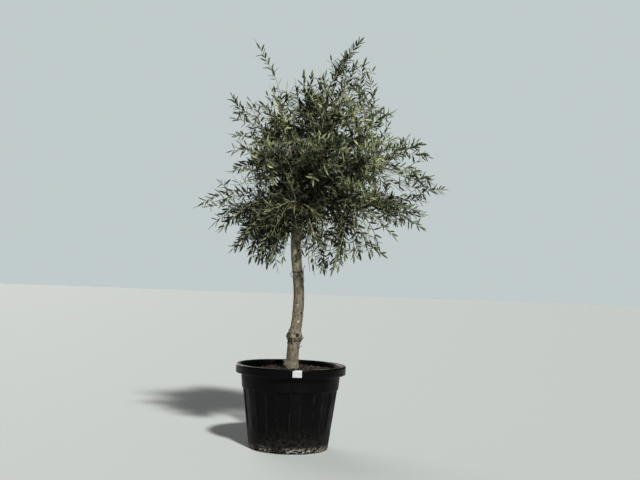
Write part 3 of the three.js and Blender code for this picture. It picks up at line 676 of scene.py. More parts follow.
class Growth:
    """The masses of foliage with their spaces, limbs, stems and shoots."""

    def __init__(self, crown):
        self.crown = crown
        rows = [(tier, index) for tier in TIERS for index in range(tier.count)]
        self.tiers, self.indices = zip(*rows)
        self.names = [f"{tier.name}_{index + 1}" if tier.count > 1 else tier.name for tier, index in rows]
        self.turns = [tier.turn + 360 * index / tier.count for tier, index in rows]
        self.centres = self.middles(0)
        self.boughs = np.array([tier.parent == "trunk" for tier in self.tiers])
        self.limbs = self.limb_lines()
        self.stems = self.stem_lines()
        source = self.shoots_to(*self.shoot_tips(), 0)
        finer = self.shoots_to(*self.finer_tips(), FINER_FIRST)
        self.shoots = joined([source, finer, self.limb_shoots()])

    def middles(self, beyond):
        """The middles of the masses, or places that are farther out by a share."""
        places = zip(self.turns, self.tiers)
        return np.array([crown_place(self.crown, turn, at.rise, at.share + beyond) for turn, at in places])

    def rooms(self, spots, masses, other):
        """How far each spot is inside the border between its mass's space and another mass's, which
        lies halfway between their middles, and the direction across that border."""
        away = unit(self.centres[other] - self.centres[masses])
        halfway = (self.centres[other] + self.centres[masses]) / 2
        return np.where(masses == other, np.inf, dot(halfway - spots, away)), away

    def depth(self, spot, mass):
        others = range(len(self.centres))
        return min(self.rooms(spot[None], np.array([mass]), other)[0][0] for other in others)

    def kept(self, spots, masses, margin):
        """The spots, each moved back from every border of its mass's space that it is too close to."""
        spots = spots.copy()
        for other in range(len(self.centres)):
            room, away = self.rooms(spots, masses, other)
            spots += away * np.where(room < margin, room - margin, 0)[:, None]
        return spots

    def limb_end(self, mass):
        """Where a limb ends on the way from the hub to its mass's middle: as soon as it is inside."""
        share = LIMB_END.nearest
        end = part_way(HUB, self.centres[mass], share)
        while self.depth(end, mass) < LIMB_END.depth and share < LIMB_END.farthest:
            share += LIMB_END.step
            end = part_way(HUB, self.centres[mass], share)
        return end

    def limb_lines(self):
        """Boughs rise from the trunk and then spread. A side limb goes on from the bough that is turned
        its way, and spreads more."""
        lines = []
        fork = through(TRUNK_POINTS, [TRUNK.fork])[0]
        for mass, tier in enumerate(self.tiers):
            end = self.limb_end(mass)
            if tier.parent == "trunk":
                lift = BOUGH.lift * np.linalg.norm(end - fork)
                lines.append([fork, part_way(fork, end, BOUGH.bend) + lift * UP, end])
                continue
            parents = [i for i, other in enumerate(self.tiers) if other.name == tier.parent]
            gaps = [abs(turned(self.turns[i], self.turns[mass])) for i in parents]
            bough = np.array(lines[parents[int(np.argmin(np.round(gaps, 6)))]])
            share = tier.start + LIMB.spread * chance(self.indices[mass], SEED.limb)
            start = bend_at(bough, share)
            onward = start + heading_at(bough, share) * LIMB.onward * np.linalg.norm(end - start)
            lines.append([start, part_way(onward, (start + end) / 2, LIMB.pull), end])
        return np.array(lines)

    def stem_lines(self):
        """A stem goes on from its limb's end, through the middle of the mass and beyond it."""
        every = np.arange(len(self.names))
        heading = heading_at(self.limbs, np.ones(len(every)))
        start = self.limbs[:, 2] + heading * STEM.gap
        reach = STEM.onward * np.linalg.norm(self.centres - start, axis=1)
        bend = self.kept(start + heading * reach[:, None], every, STEM.space)
        return np.stack([start, bend, self.kept(self.middles(STEM.beyond), every, STEM.space)], axis=1)

    def spiral(self, shell):
        """An even spiral of tips over a shell: each turns on by the golden angle."""
        index = np.arange(shell.count)
        rise = np.degrees(np.arcsin(1 - 2 * (index + 0.5) / shell.count))
        index, rise = index[rise > shell.lowest], rise[rise > shell.lowest]
        share = shell.share + shell.vary * chance(index, shell.count)
        return crown_place(self.crown, GOLDEN_TURN * index, rise, share)

    def shoot_tips(self):
        """The tips of the source's shoots: the long ones, those on the front and the back, and spirals
        over the shells. Also tells how much of each shoot bears twigs, and how much painted shade darkens
        it."""
        long_ones = np.array(list(LONG_SHOOTS.values()))
        index = np.arange(HIDDEN.count)
        turn = np.where(index % 2, 90, -90) + HIDDEN.spread * sway(index, SEED.hidden_turn)
        rise = part_way(HIDDEN.lowest, HIDDEN.highest, chance(index, SEED.hidden_rise))
        share = HIDDEN.share + HIDDEN.vary * chance(index, SEED.hidden_out)
        hidden = crown_place(self.crown, turn, rise, share)
        outer, inner = (self.spiral(shell) for shell in SHELLS)
        twigs = np.concatenate([long_ones[:, 3], np.full(len(hidden), HIDDEN.twigs)])
        twigs = np.concatenate([twigs, np.full(len(outer), OUTER_TWIGS), np.ones(len(inner))])
        kinds = [len(long_ones), len(hidden) + len(outer), len(inner)]
        # The long shoots at the crown's edge and those of the inner shell are painted darker, as shade
        darker = np.repeat([SHADE.edge, 0, SHADE.inside], kinds)
        return np.concatenate([long_ones[:, :3], hidden, outer, inner]), twigs, darker

    def finer_tips(self):
        """The tips of the finer shoots, which fill the crown between the source's."""
        middle, inner = (self.spiral(shell) for shell in FINER_SHELLS)
        tips = np.concatenate([np.array(OUTLINE_SHOOTS), middle, inner])
        kinds = [len(BARE_SHOOTS), len(EDGE_SHOOTS), len(HANGING_SHOOTS), len(middle) + len(inner)]
        twigs = np.repeat([0, EDGE_TWIGS, HANGING_TWIGS, 1], kinds)
        # Shoots at the crown's edge, hanging ones and inner ones are painted darker, as shade
        return tips, twigs, np.repeat([0, SHADE.edge, SHADE.edge, SHADE.inside], kinds)

    def shoots_to(self, tips, twigs, darker, first):
        """A shoot leaves its mass's stem at a lean, arches up and out, and ends at its tip. The shoots
        of a mass leave its stem at even steps, in the order in which they reach out, and the one that
        reaches farthest goes on from the stem's end."""
        away = np.linalg.norm(tips[:, None] - self.centres, axis=2)
        masses = np.argmin(away, axis=1)
        out = heading_at(self.stems, np.full(len(self.names), 0.5))
        start_share = np.zeros(len(tips))
        for mass in range(len(self.names)):
            own = np.flatnonzero(masses == mass)
            own = own[np.argsort(tips[own] @ out[mass], kind="stable")]
            if len(own) == 0:
                continue
            steps = (np.arange(len(own)) + 0.5) / max(len(own) - 1, 1)
            start_share[own] = part_way(STEM.bare, 1, steps)
            start_share[own[-1]] = 1
        tip = self.kept(tips, masses, SHOOT.space)
        stems = self.stems[masses]
        start, onward = bend_at(stems, start_share), heading_at(stems, start_share)
        length = np.linalg.norm(tip - start, axis=1)[:, None]
        pull = tip - start + SHOOT.arch * length * UP
        side = unit(pull - dot(pull, onward)[:, None] * onward)
        lean = np.radians(np.where(start_share < 1, SHOOT.lean, SHOOT.leader_lean))[:, None]
        bend = start + SHOOT.bend * length * (onward * np.cos(lean) + side * np.sin(lean))
        if first == 0:
            for name, place in BENDS.items():
                bend[list(LONG_SHOOTS).index(name)] = place
        lines = np.stack([start, self.kept(bend, masses, SHOOT.space), tip], axis=1)
        index = first + np.arange(len(tips))
        roll = TURN / 3 * sway(index, SEED.roll)
        fits = length[:, 0] > SHOOT.shortest
        return SimpleNamespace(
            line=lines[fits], length=length[fits, 0], roll=roll[fits], index=index[fits],
            mass=masses[fits], twigs=twigs[fits], start=start_share[fits],
            tone=self.tones(tip, darker, index)[fits],
        )

    def limb_shoots(self):
        """Short shoots that leave the boughs and limbs at even shares, each turned on by the golden
        angle, and rise a little."""
        count = len(self.names)
        mass = np.repeat(np.arange(count), LIMB_SHOOTS.count)
        index = LIMB_SHOOTS.index + np.arange(len(mass))
        order = np.tile(np.arange(LIMB_SHOOTS.count), count)
        order = order + chance(index, SEED.limb_shoot) * LIMB_SHOOTS.stray
        share = LIMB_SHOOTS.first + (LIMB_SHOOTS.last - LIMB_SHOOTS.first) * order / LIMB_SHOOTS.count
        turn = np.radians(GOLDEN_TURN) * index
        lean = np.full(len(mass), math.radians(LIMB_SHOOTS.lean))
        reach = LIMB_SHOOTS.length + LIMB_SHOOTS.vary * sway(index, SEED.limb_shoot_length)
        line = sprouts(self.limbs[mass], share, turn, lean, reach, LIMB_SHOOTS.lift)
        none = np.zeros(len(mass))
        return SimpleNamespace(
            line=line, length=reach, roll=turn, index=index, mass=mass, twigs=none + 1, start=none,
            tone=self.tones(line[:, 2], SHADE.inside, index),
        )

    def tones(self, tip, darker, index):
        """How light the leaves of a shoot are: varying by chance, painted lighter high up and to the right,
        where the sun falls, and painted darker as shade inside the crown and at its edge."""
        centre = np.array(self.crown.centre)
        high = (tip[:, 2] - centre[2]) / self.crown.half_height
        right = (tip[:, 0] - centre[0]) / self.crown.half_width
        light = SHADE.middle + SHADE.high * high + SHADE.right * right - darker
        light = light + SHADE.vary * sway(index, SEED.tone)
        return np.clip(np.floor(light * TONES), 0, TONES - 1).astype(int)


# A leaf's outline: its half width, as a share of the greatest, at shares of its length
LEAF_OUTLINE = [(0.3, 0.94), (0.7, 0.82)]
# How leaves stand: the length of a twig's last leaf and a blade's thickness in metres, leans in
# degrees, how much each thing varies, and how much of each kind of twig is bare
LEAF = SimpleNamespace(
    end=0.032, lean=58, forward=16, lean_vary=13, twist=0.25, least=0.74, ends=0.12, vary=0.16,
    widths=(0.85, 1.15), light=0.4, thickness=0.0006, bend_vary=0.07, on_outline=1.22,
    bare_long=0.3, bare_shoot=0.35, bare_lateral=0.3, bare_fine=0.1, bare_end=0.66,
)
LATERAL = SimpleNamespace(reach=1.16, lift=0.1, between=0.7, shrink=0.35, numbers=40)
# Where the crown is full: low and wide, so that its top stays open
FULL = SimpleNamespace(
    middle=(0.05, 0, 1.25), reach=(0.48, 0.48, 0.48), inside=0.15, outside=1.15,
    thin_laterals=0.25, thin_between=0.85, thin_fine=0.85,
)
# Where the foliage is open: a line's start and way, its reach, and the share of twigs left out. These
# bare the trunk's top to the eye and to the sun.
CLEARINGS = [
    ((0.01, -0.02, 0.88), (0.02, -1, 0.05), 0.06, 0.65),
    ((0.02, -0.02, 0.97), (0.03, -1, 0.03), 0.05, 0.55),
    ((0.03, -0.02, 1.05), (0.03, -1, 0.01), 0.035, 0.65),
    ((0.01, -0.02, 0.82), (0.38, -1, 0.86), 0.095, 0.88),
]
# Where the sky shows through from the front: across, height, reach and the share of twigs left out
SKY_GAPS = {
    "foot_right": (0.28, 1.0, 0.12, 0.85),
    "foot_middle": (0.13, 0.99, 0.075, 0.75),
    "foot": (0.16, 0.9, 0.07, 0.75),
    "low_right": (0.3, 1.12, 0.08, 0.5),
    "low_left": (-0.24, 1.13, 0.095, 0.88),
    "left": (-0.222, 1.3, 0.08, 0.35),
    "right": (0.44, 1.23, 0.11, 0.87),
    "high_left": (-0.2, 1.44, 0.08, 0.6),
    "high_middle": (0.02, 1.46, 0.06, 0.6),
    "high_right": (0.26, 1.46, 0.07, 0.55),
    "top": (0.14, 1.58, 0.085, 0.78),
    "top_left": (-0.096, 1.575, 0.09, 0.78),
    "top_right": (0.4, 1.62, 0.06, 0.8),
}
BEHIND = 1.1  # a gap starts this far from the eye, as a share of the way to the crown's middle
FINE = SimpleNamespace(
    shares=(0.22, 0.5), size=0.66, shrink=0.5, vary=0.4, lean=46, lean_vary=16, stray=0.9,
    numbers=(7, 3),
)
TONES = 5  # tones of the leaves' upper sides
# A blade's finish: how the tones bend towards the dark, the roughness of its sides, how much darker
# the underside's copy painted shaded is, its gloss and its grain
BLADE = SimpleNamespace(
    bend=1.5, upper=0.42, lower=0.75, shaded=0.5, gloss=0.32, grain=1400, grain_height=0.0001
)
# How light a spray's leaves are, as a share of the tones: painted lighter high up and to the right,
# where the sun falls, and painted darker as shade inside the crown and at its edge
SHADE = SimpleNamespace(middle=0.48, high=0.16, right=0.12, vary=0.6, inside=0.3, edge=0.36)


def lateral_twigs(shoots, between=0):
    """Two lateral twigs leave each joint of a shoot, a third of a turn on from joint to joint, at a lean
    and a length that vary, and shorter the farther along they start. A long shoot bears them on its
    lower part alone. Those between the joints, by a share of the way from one to the next, are shorter."""
    spray = np.minimum(SPRAY.length, SPRAY.of_shoot * shoots.length)
    room = np.maximum(0, shoots.length - spray - SPRAY.first - SPRAY.last)
    joints = np.round(room / SPRAY.spacing).astype(int) + 1
    shoot, joint = counted(joints)
    along = np.where(joints[shoot] > 1, (joint + between) / np.maximum(joints[shoot] - 1, 1), 1)
    share = (SPRAY.first + along * room[shoot]) / shoots.length[shoot]
    bearing = (share < shoots.twigs[shoot]) & ((between == 0) | (along < 1))
    shoot, joint, share = (np.repeat(values[bearing], 2) for values in (shoot, joint, share))
    way = np.tile([-1, 1], len(shoot) // 2)
    index = shoots.index[shoot]
    luck = chance(index, SEED.lateral_size + joint + between)
    size = spray[shoot] * (SPRAY_SIZE.least + SPRAY_SIZE.vary * luck)
    size = size * (LATERAL.between if between else 1) * (1 - LATERAL.shrink * share)
    lean = np.radians(SPRAY_LEAN.middle + SPRAY_LEAN.vary * sway(index, SEED.lateral_lean + joint))
    turn = shoots.roll[shoot] + (joint + between) * TURN / 3 + way * math.radians(SPRAY_LEAN.spread)
    reach = size * LATERAL.reach
    return SimpleNamespace(
        line=sprouts(shoots.line[shoot], share, turn, lean, reach, LATERAL.lift),
        length=reach, roll=turn, index=index * LATERAL.numbers + joint * 2 + (way > 0),
        mass=shoots.mass[shoot], tone=shoots.tone[shoot],
    )


def fine_twigs(laterals):
    """Finer twigs leave each lateral on both sides at given shares of its length, a quarter turn on from
    one pair to the next, each shorter the farther out it starts."""
    count = len(laterals.length)
    twig = np.repeat(np.arange(count), 2 * len(FINE.shares))
    share = np.tile(np.repeat(FINE.shares, 2), count)
    pair = np.tile(np.repeat(np.arange(len(FINE.shares)), 2), count)
    way = np.tile([-1, 1], count * len(FINE.shares))
    index = laterals.index[twig] + FINE.numbers[0] * pair + FINE.numbers[1] * way
    size = laterals.length[twig] * FINE.size * (1 - FINE.shrink * share)
    size = size * (1 - FINE.vary * chance(index, SEED.fine_size))
    lean = np.radians(FINE.lean + FINE.lean_vary * sway(index, SEED.fine_lean))
    turn = laterals.roll[twig] + pair * TURN / 4 + way * math.radians(SPRAY_LEAN.spread)
    turn = turn + FINE.stray * sway(index, SEED.fine_turn)
    return SimpleNamespace(
        line=sprouts(laterals.line[twig], share, turn, lean, size, LATERAL.lift),
        length=size, roll=turn, index=index, mass=laterals.mass[twig], tone=laterals.tone[twig],
    )


def joined(parts):
    """Several sets of the same arrays as one."""
    return SimpleNamespace(
        **{key: np.concatenate([getattr(part, key) for part in parts]) for key in vars(parts[0])}
    )


def thinned(twigs, thinning, seed):
    """The twigs that are left: all of them near the middle of the crown's full part, and fewer the
    farther out they end, by a smooth step, or the nearer to a clearing's line."""
    out = (twigs.line[:, 2] - np.array(FULL.middle)) / np.array(FULL.reach)
    away = np.linalg.norm(out, axis=1)
    skipped = np.maximum(thinning * smooth(away, FULL.inside, FULL.outside), cleared(twigs.line[:, 2]))
    return chosen(twigs, chance(twigs.index, seed) > skipped)


def cleared(places):
    """The share that is left out at each place: a bell round each clearing's line, past its start. A
    sky gap's line comes from behind the crown to the eye."""
    skipped = np.zeros(len(places))
    eye = np.array(CAMERA.place)
    lines = list(CLEARINGS)
    for x, height, reach, share in SKY_GAPS.values():
        sight = np.array([x, 0, height]) - eye
        lines.append((eye + BEHIND * sight, -sight, reach, share))
    for start, way, reach, share in lines:
        way = unit(np.array(way))
        out = places - np.array(start)
        along = np.maximum(0, out @ way)
        away = np.linalg.norm(out - along[:, None] * way, axis=1)
        skipped = np.maximum(skipped, share * bump_at(away, 0, reach))
    return skipped


def chosen(parts, which):
    """Some of each of a set of arrays."""
    return SimpleNamespace(**{key: values[which] for key, values in vars(parts).items()})


def all_twigs(shoots):
    """The laterals with the shorter ones between them, and the fine twigs that all of these bear: each
    set is thinned where the crown is open."""
    between = thinned(lateral_twigs(shoots, between=0.5), FULL.thin_between, SEED.thin_between)
    laterals = thinned(lateral_twigs(shoots), FULL.thin_laterals, SEED.thin_laterals)
    laterals = joined([laterals, between])
    return laterals, thinned(fine_twigs(laterals), FULL.thin_fine, SEED.thin_fine)


def out_at(lines, share, turn, lean):
    """What grows out of a line at a share of its length: its heading, which leans away from the line's
    own towards a turn round it, and the way its upper side faces, which is square to that."""
    onward = heading_at(lines, share)
    above, side = across(unit(lines[:, 2] - lines[:, 0]), onward)
    out = above * np.cos(turn)[:, None] + side * np.sin(turn)[:, None]
    along, out_part = np.cos(lean)[:, None], np.sin(lean)[:, None]
    return onward * along + out * out_part, onward * out_part - out * along


def sprouts(lines, share, turn, lean, reach, lift):
    """Twigs that grow out of lines: curves that go half their reach straight out, and then rise by a
    share of it."""
    heading = out_at(lines, share, turn, lean)[0]
    start = bend_at(lines, share)
    reach = reach[:, None]
    end = start + heading * reach + UP * reach * lift
    return np.stack([start, start + heading * reach / 2, end], axis=1)


def leaf_places(twigs, bare, leaves, seed, larger=1):
    """Pairs of leaves at even steps along each twig, each pair square to the last, and one leaf that
    goes on from its end. A leaf is smaller at both ends of its twig and leans forward near the tip.
    Some twigs bear larger leaves, closer together."""
    dice = np.random.default_rng(seed)
    larger = np.broadcast_to(larger, twigs.length.shape)
    wood = 1 - LEAF.end / twigs.length
    pairs = np.round((wood - bare) * twigs.length * larger**2 / leaves.spacing)
    pairs = np.maximum(1, pairs).astype(int)
    twig, pair = counted(pairs)
    along = (pair + 0.5) / pairs[twig]
    twig, pair, along = (np.repeat(values, 2) for values in (twig, pair, along))
    way = np.tile([0, 1], len(twig) // 2)
    count = len(twig)
    share = bare[twig] + along * (wood - bare)[twig]
    turn = twigs.roll[twig] + pair * TURN / 4 + way * TURN / 2 + dice.normal(0, LEAF.twist, count)
    lean = np.radians(LEAF.lean - LEAF.forward * along**3 + dice.normal(0, LEAF.lean_vary, count))
    heading, face = out_at(twigs.line[twig], share, turn, lean)
    size = part_way(LEAF.least, 1, np.sin(math.pi * np.clip(along, LEAF.ends, 1 - LEAF.ends)))
    size *= dice.uniform(1 - LEAF.vary, 1 + LEAF.vary, count)
    stays = dice.random(count) > leaves.missing
    last = twigs.line
    host = np.concatenate([twig[stays], np.arange(len(pairs))])
    end_heading = heading_at(last, (wood + 1) / 2)
    end_face = across(unit(last[:, 2] - last[:, 0]), end_heading)[0]
    return SimpleNamespace(
        root=np.concatenate([bend_at(twigs.line[twig], share)[stays], bend_at(last, wood)]),
        heading=np.concatenate([heading[stays], end_heading]),
        face=np.concatenate([face[stays], end_face]),
        size=np.concatenate([(leaves.length * size * larger[twig])[stays], LEAF.end * larger]),
        mass=twigs.mass[host],
        tone=twigs.tone[host],
    )


def leaf_corners(leaves_at, leaves, seed):
    """The 10 corners of each leaf: its root, then an edge, the midrib's top, the other edge and the
    midrib's back at each step of its outline, and its tip. The midrib lies under the edges by the fold,
    and all of it bends down with the square of the distance from its root."""
    dice = np.random.default_rng(seed)
    count = len(leaves_at.size)
    heading = leaves_at.heading
    light = leaves_at.face + LEAF.light * UP
    face = unit(light - dot(light, heading)[:, None] * heading)
    edge = np.cross(face, heading)
    size = leaves_at.size
    half = leaves.width / 2 * size / leaves.length * dice.uniform(*LEAF.widths, count)
    droop = leaves.droop + dice.normal(0, LEAF.bend_vary, count)

    def spot(share, wide, lift):
        sink = lift - droop * size * share**2
        return (
            leaves_at.root
            + heading * (share * size)[:, None]
            + edge * (wide * half)[:, None]
            + face * np.broadcast_to(sink, count)[:, None]
        )

    corners = [spot(0.0, 0, 0)]
    for share, wide in LEAF_OUTLINE:
        fold = 2 * leaves.fold * wide * half
        corners += [
            spot(share, wide, 0),
            spot(share, 0, LEAF.thickness / 2 - fold),
            spot(share, -wide, 0),
            spot(share, 0, -LEAF.thickness / 2 - fold),
        ]
    corners.append(spot(1.0, 0, 0))
    return np.stack(corners, axis=1)


def leaf_faces():
    """The faces of one leaf, those of its upper side first: (upper quads, lower quads, upper triangles,
    lower triangles)."""
    upper, lower = [], []
    for step in range(len(LEAF_OUTLINE) - 1):
        edge, top, other, back = (1 + 4 * step + corner for corner in range(4))
        upper += [[top, top + 4, edge + 4, edge], [other, other + 4, top + 4, top]]
        lower += [[back, edge, edge + 4, back + 4], [other, back, back + 4, other + 4]]
    last = 4 * len(LEAF_OUTLINE) - 3
    tip = last + 4
    edge, top, other, back = (last + corner for corner in range(4))
    upper_ends = [[0, 2, 1], [0, 3, 2], [top, tip, edge], [other, tip, top]]
    lower_ends = [[0, 1, 4], [0, 4, 3], [edge, tip, back], [back, tip, other]]
    return (np.array(part) for part in (upper, lower, upper_ends, lower_ends))


def leaves_piece(name, leaves_at, leaves, mass):
    """One mesh of many leaves. Each leaf's upper side has its spray's tone or the next one to it, and
    light and dark sprays have an underside each: the dark sprays' copy is painted shaded."""
    corners = leaf_corners(leaves_at, leaves, SEED.leaf_shape + mass)
    count, each = corners.shape[:2]
    starts = (np.arange(count) * each)[:, None, None]
    upper, lower, upper_ends, lower_ends = leaf_faces()
    quads = np.concatenate([upper, lower])[None] + starts
    triangles = np.concatenate([upper_ends, lower_ends])[None] + starts
    stray = np.random.default_rng(SEED.leaf_tone + mass).integers(-1, 2, count)
    tone = np.clip(leaves_at.tone + stray, 0, TONES - 1)[:, None]
    # Dark sprays get the underside's copy painted shaded
    under = TONES + (tone > TONES // 2)

    def sides(above, below):
        looks = [np.repeat(tone, len(above), 1), np.repeat(under, len(below), 1)]
        return np.concatenate(looks, axis=1).ravel()

    looks = np.concatenate([sides(upper, lower), sides(upper_ends, lower_ends)])
    return make_piece(name, corners, quads, triangles, looks, smoothed=False)


# The trunk's marks: height, turn from the right to the back in degrees, reach, swell, hollow, and how
# dark and how pale its middle is
TRUNK_MARKS = {
    "pruned_left": (0.493, -143, 0.0125, 0.004, 0.008, 0.9, 0),
    "pruned_left_cut": (0.492, -139, 0.0045, 0, 0, 0, 0.55),
    "pruned_front": (0.4985, -66, 0.0088, 0.004, 0.007, 1.0, 0),
    "pruned_front_low": (0.4915, -71, 0.0052, 0, 0.004, 0.9, 0),
    "swell_left": (0.4885, 176, 0.0165, 0.0038, 0, 0, 0),
    "swell_right": (0.4865, -12, 0.0145, 0.0034, 0, 0, 0),
    "pruned_low_left": (0.478, -113, 0.0052, 0.0015, 0.005, 1.0, 0),
    "pruned_low_right": (0.4795, -86, 0.004, 0.0015, 0.004, 1.0, 0),
    "callus": (0.49, -100, 0.009, 0.004, 0, 0, 0.3),
    "callus_low": (0.4735, -100, 0.006, 0.0035, 0, 0, 0.2),
    "knot_right": (0.597, -46, 0.006, 0.001, 0.003, 1.0, 0),
    "scar_front": (0.559, -72, 0.0045, 0.0006, 0, 0, 1.0),
    "scar_small": (0.631, -98, 0.003, 0.0004, 0, 0, 0.8),
    "stub_high": (0.469, -12, 0.005, 0.0025, 0, 0.4, 0),
    "stub_low": (0.446, -10, 0.004, 0.002, 0, 0.4, 0),
    "knot_high": (0.748, -30, 0.0035, 0.0006, 0.0012, 0.9, 0),
    "knot_back": (0.655, 62, 0.006, 0.002, 0.003, 0.9, 0),
    "scar_back": (0.52, 118, 0.006, 0.001, 0, 0, 0.8),
    "knot_left": (0.842, 168, 0.0045, 0.0015, 0.002, 0.9, 0),
    "scar_back_high": (0.889, 84, 0.005, 0.0008, 0, 0, 0.7),
    "knot_front_high": (0.872, -60, 0.004, 0.001, 0.0012, 0.7, 0),
}
# How a mark's swell, hollow, dark and pale parts lie within its reach, as shares of it
MARK = SimpleNamespace(tall=1.1, swell=1.35, hollow=0.72, dark=(0.98, 0.66), pale=0.9, wobble=0.5)
# The bark's grid, and the sizes, depths and darkness of its grain, furrows, lumps and pits
BARK = SimpleNamespace(
    rows=430, columns=150, sunk=0.006, samples=4000, grain=0.007, drawn_out=0.5, grain_height=0.3,
    furrows=(0.12, 0.75), furrow_dark=0.75, lump=0.045, lump_drawn_out=0.6, pit=0.0035, pits=(0.45, 0.8),
    pit_depth=0.5, pit_dark=0.5, wobble=0.007,
)
# Dead twigs on the trunk's right side: where each starts and ends, and its radius
STUBS = [
    ((0.036, -0.006, 0.467), (0.0525, -0.01, 0.489), 0.0019),
    ((0.034, -0.005, 0.443), (0.044, -0.009, 0.451), 0.0015),
]
STUB = SimpleNamespace(tip=0.6, steps=9, sides=9, wander=0.06)
# The ragged ledge under the pruned knob, with a shadow painted dark along it
LEDGE = SimpleNamespace(
    height=0.4685, turn=-112, reach=0.0042, spread=75, depth=0.005, ragged=0.003, tooth=0.012, dark=0.9
)


def trunk_body(bark):
    """The trunk's rings, and for each corner how dark its furrows and pits are, with the shadow painted
    under the knob's ledge, how much it is hollow and how much scar. Its radius is the source's, plus broad
    lumps, furrows drawn out along the stem, and a bell, with a narrower one cut out of it, for each pruned
    branch, knot, scar and stub."""
    shares = np.linspace(0, 1, BARK.samples)
    heights = through(TRUNK_POINTS, shares)[:, 2]
    rows = np.linspace(TRUNK.foot - BARK.sunk, TRUNK.top, BARK.rows)
    centres = through(TRUNK_POINTS, np.interp(rows, heights, shares))
    turns = even_turns(BARK.columns)
    base = trunk_radius(rows[:, None], turns, bark)
    # A turn of 0 faces back, and a quarter left, so the turn from the right to the back is this:
    facing = np.degrees(turns) + 90
    spots = rings_along(centres[None], base[None], BARK.columns)[0]
    grain = rough(spots * (1, 1, BARK.drawn_out), BARK.grain, 4, SEED.grain)
    furrow = smooth(-grain, *BARK.furrows)
    lumps = rough(spots * (1, 1, BARK.lump_drawn_out), BARK.lump, 2, SEED.lumps)
    pits = smooth(noise(spots, BARK.pit, SEED.pits), *BARK.pits)
    radius = base + bark.lumps * lumps - bark.fissures * furrow + BARK.grain_height * bark.fissures * grain
    radius -= BARK.pit_depth * bark.fissures * pits
    hollows, scars = np.zeros_like(radius), np.zeros_like(radius)
    wobble = 1 + MARK.wobble * rough(spots, BARK.wobble, 2, SEED.wobble)
    for height, turn, reach, swell, hollow, dark, pale in TRUNK_MARKS.values():
        side = np.radians(turned(facing, turn)) * base
        away = np.hypot((rows[:, None] - height) / MARK.tall, side) / reach * wobble
        radius += swell * bump_at(away, 0, MARK.swell) - hollow * bump_at(away, 0, MARK.hollow, 4)
        hollows = np.maximum(hollows, dark * smooth(away, *MARK.dark))
        scars = np.maximum(scars, pale * bump_at(away, 0, MARK.pale, 4))
    rise = rows[:, None] - LEDGE.height - LEDGE.ragged * rough(spots, LEDGE.tooth, 2, SEED.ledge)
    ledge = bump_at(rise, 0, LEDGE.reach) * bump_at(turned(facing, LEDGE.turn), 0, LEDGE.spread)
    radius -= LEDGE.depth * ledge
    # Furrows and pits darken the bark, and the ledge is painted dark as its shadow
    furrow = np.max([furrow * BARK.furrow_dark, pits * BARK.pit_dark, ledge * LEDGE.dark], axis=0)
    rings = rings_along(centres[None], radius[None], BARK.columns)[0]
    return rings, {"furrow": furrow, "hollow": hollows, "scar": scars}


# The pot, from its source's own sizes. Radii, heights and depths are in metres, turns in degrees.

POT = SimpleNamespace(
    foot_radius=0.168, foot=0.009, body_top_radius=0.2095, band_low_radius=0.214, band_high_radius=0.2195,
    mouth_radius=0.223, lip=0.038, band=0.062, step=0.005, wall=0.009, floor=0.005,
    ribs=12, rib_turn=8.5, flute_floor=5.5, flute_mouth=8.5, flute_foot=0.075, flute_ends=0.006,
    flute_fade=0.045, notch=0.0082, notch_half=4.3, notch_depth=0.012, lip_in=0.005, lip_down=0.006,
    edge=0.6, wave=0.0008, waves=24, wave_reach=0.0022, dent=0.0007, dent_size=0.09,
    dent_from=(0.02, 0.06), near=1e-6, clear=0.001,
)
# The rows of its outline: radii, turns in degrees, heights and shares, and steps from an edge
POT_ROWS = SimpleNamespace(
    underside=(0.05, 0.12, 0.15), foot=(0, 25, 45, 60, 75), notch=(0.0079, 0.0084, 0.0092, 0.012),
    wall=(0.018, 0.008), fade=8, flutes=18, flutes_in=(0.01, 0.02), ends=5, step=(0.15, 0.5, 0.85, 1),
    band=12, band_in=(0.0015, 0.002), lip_under=((0.004, 0.0006), (0.0012, 0.0012), (0.0002, 0.0032)),
    crease=0.0008, lip=6, lip_from=0.006, rim=(15, 30, 45, 60, 75, 88), rim_in=0.0075,
    mouth=((0.0035, 0.0002), (0.0014, 0.0012)), drops=(0.0035, 0.008, 0.016, 0.026, 0.04, 0.08),
    inside=(0.2, 0.1), corner=0.004,
)
# How far up the pot each kind of dirt reaches, how far under the lip's top its dust starts, and where
# its satin upper part begins
DIRT = SimpleNamespace(haze=(0.13, 0), flecks=(0.05, 0.004), soil=(0.035, 0.009), lip=(0.0012, 0.0002))
SATIN_FROM = (0.315, 0.335)
# Where a rib's outline has its columns, in degrees from its middle
RIB_COLUMNS = [0, 1.4, 2.8, 4.2, 4.5, 5.6, 6.5, 7.0, 7.6, 8.2, 8.8, 9.5, 12]
# The soil's heights, drops and radii in metres, its clods, and its grid
SOIL = SimpleNamespace(
    top=0.346, crown=0.06, shoulder=0.17, shoulder_drop=0.0015, edge=0.215, edge_drop=0.005,
    left=(0.03, 0.19), left_drop=0.0115, clod=0.0016, clod_size=0.035, grit=0.0011, grit_size=0.008,
    mound=0.003, mound_out=0.03, mound_reach=0.014, radius=0.2185, bottom=0.318, bevel=0.008,
    inner=0.12, outer=0.214, middle=0.002, columns=220, rows=84,
)
# Crumbs: how far out they lie, how deep, how uneven, the longest side of the even ball, how large
# crumbs and chips are, and how many crumbs there are to a chip
CRUMB = SimpleNamespace(
    reach=0.213, sunk=0.12, stretch=(0.45, 1.25), dents=(0.72, 1.15), side=1.2,
    sizes=(0.002, 0.012), chip_sizes=(0.009, 0.02), chips=22,
)
# The label's size, its turn from the front in degrees, how far it is lower at the left, and its creases
LABEL = SimpleNamespace(
    width=0.04, height=0.031, top=0.365, turn=8.05, columns=30, rows=22, off=0.0004,
    bite=0.0042, bite_end=-0.14, crease=0.0004, crease_size=0.012, radius=0.24,
)
# The tie's height, how far it stands off, its wire's radii, its slant and its grid
TIE = SimpleNamespace(
    height=0.779, off=0.001, wire=0.0015, slant=0.0015, columns=72, sides=8, steps=24, thin=0.0011,
    samples=2000,
)
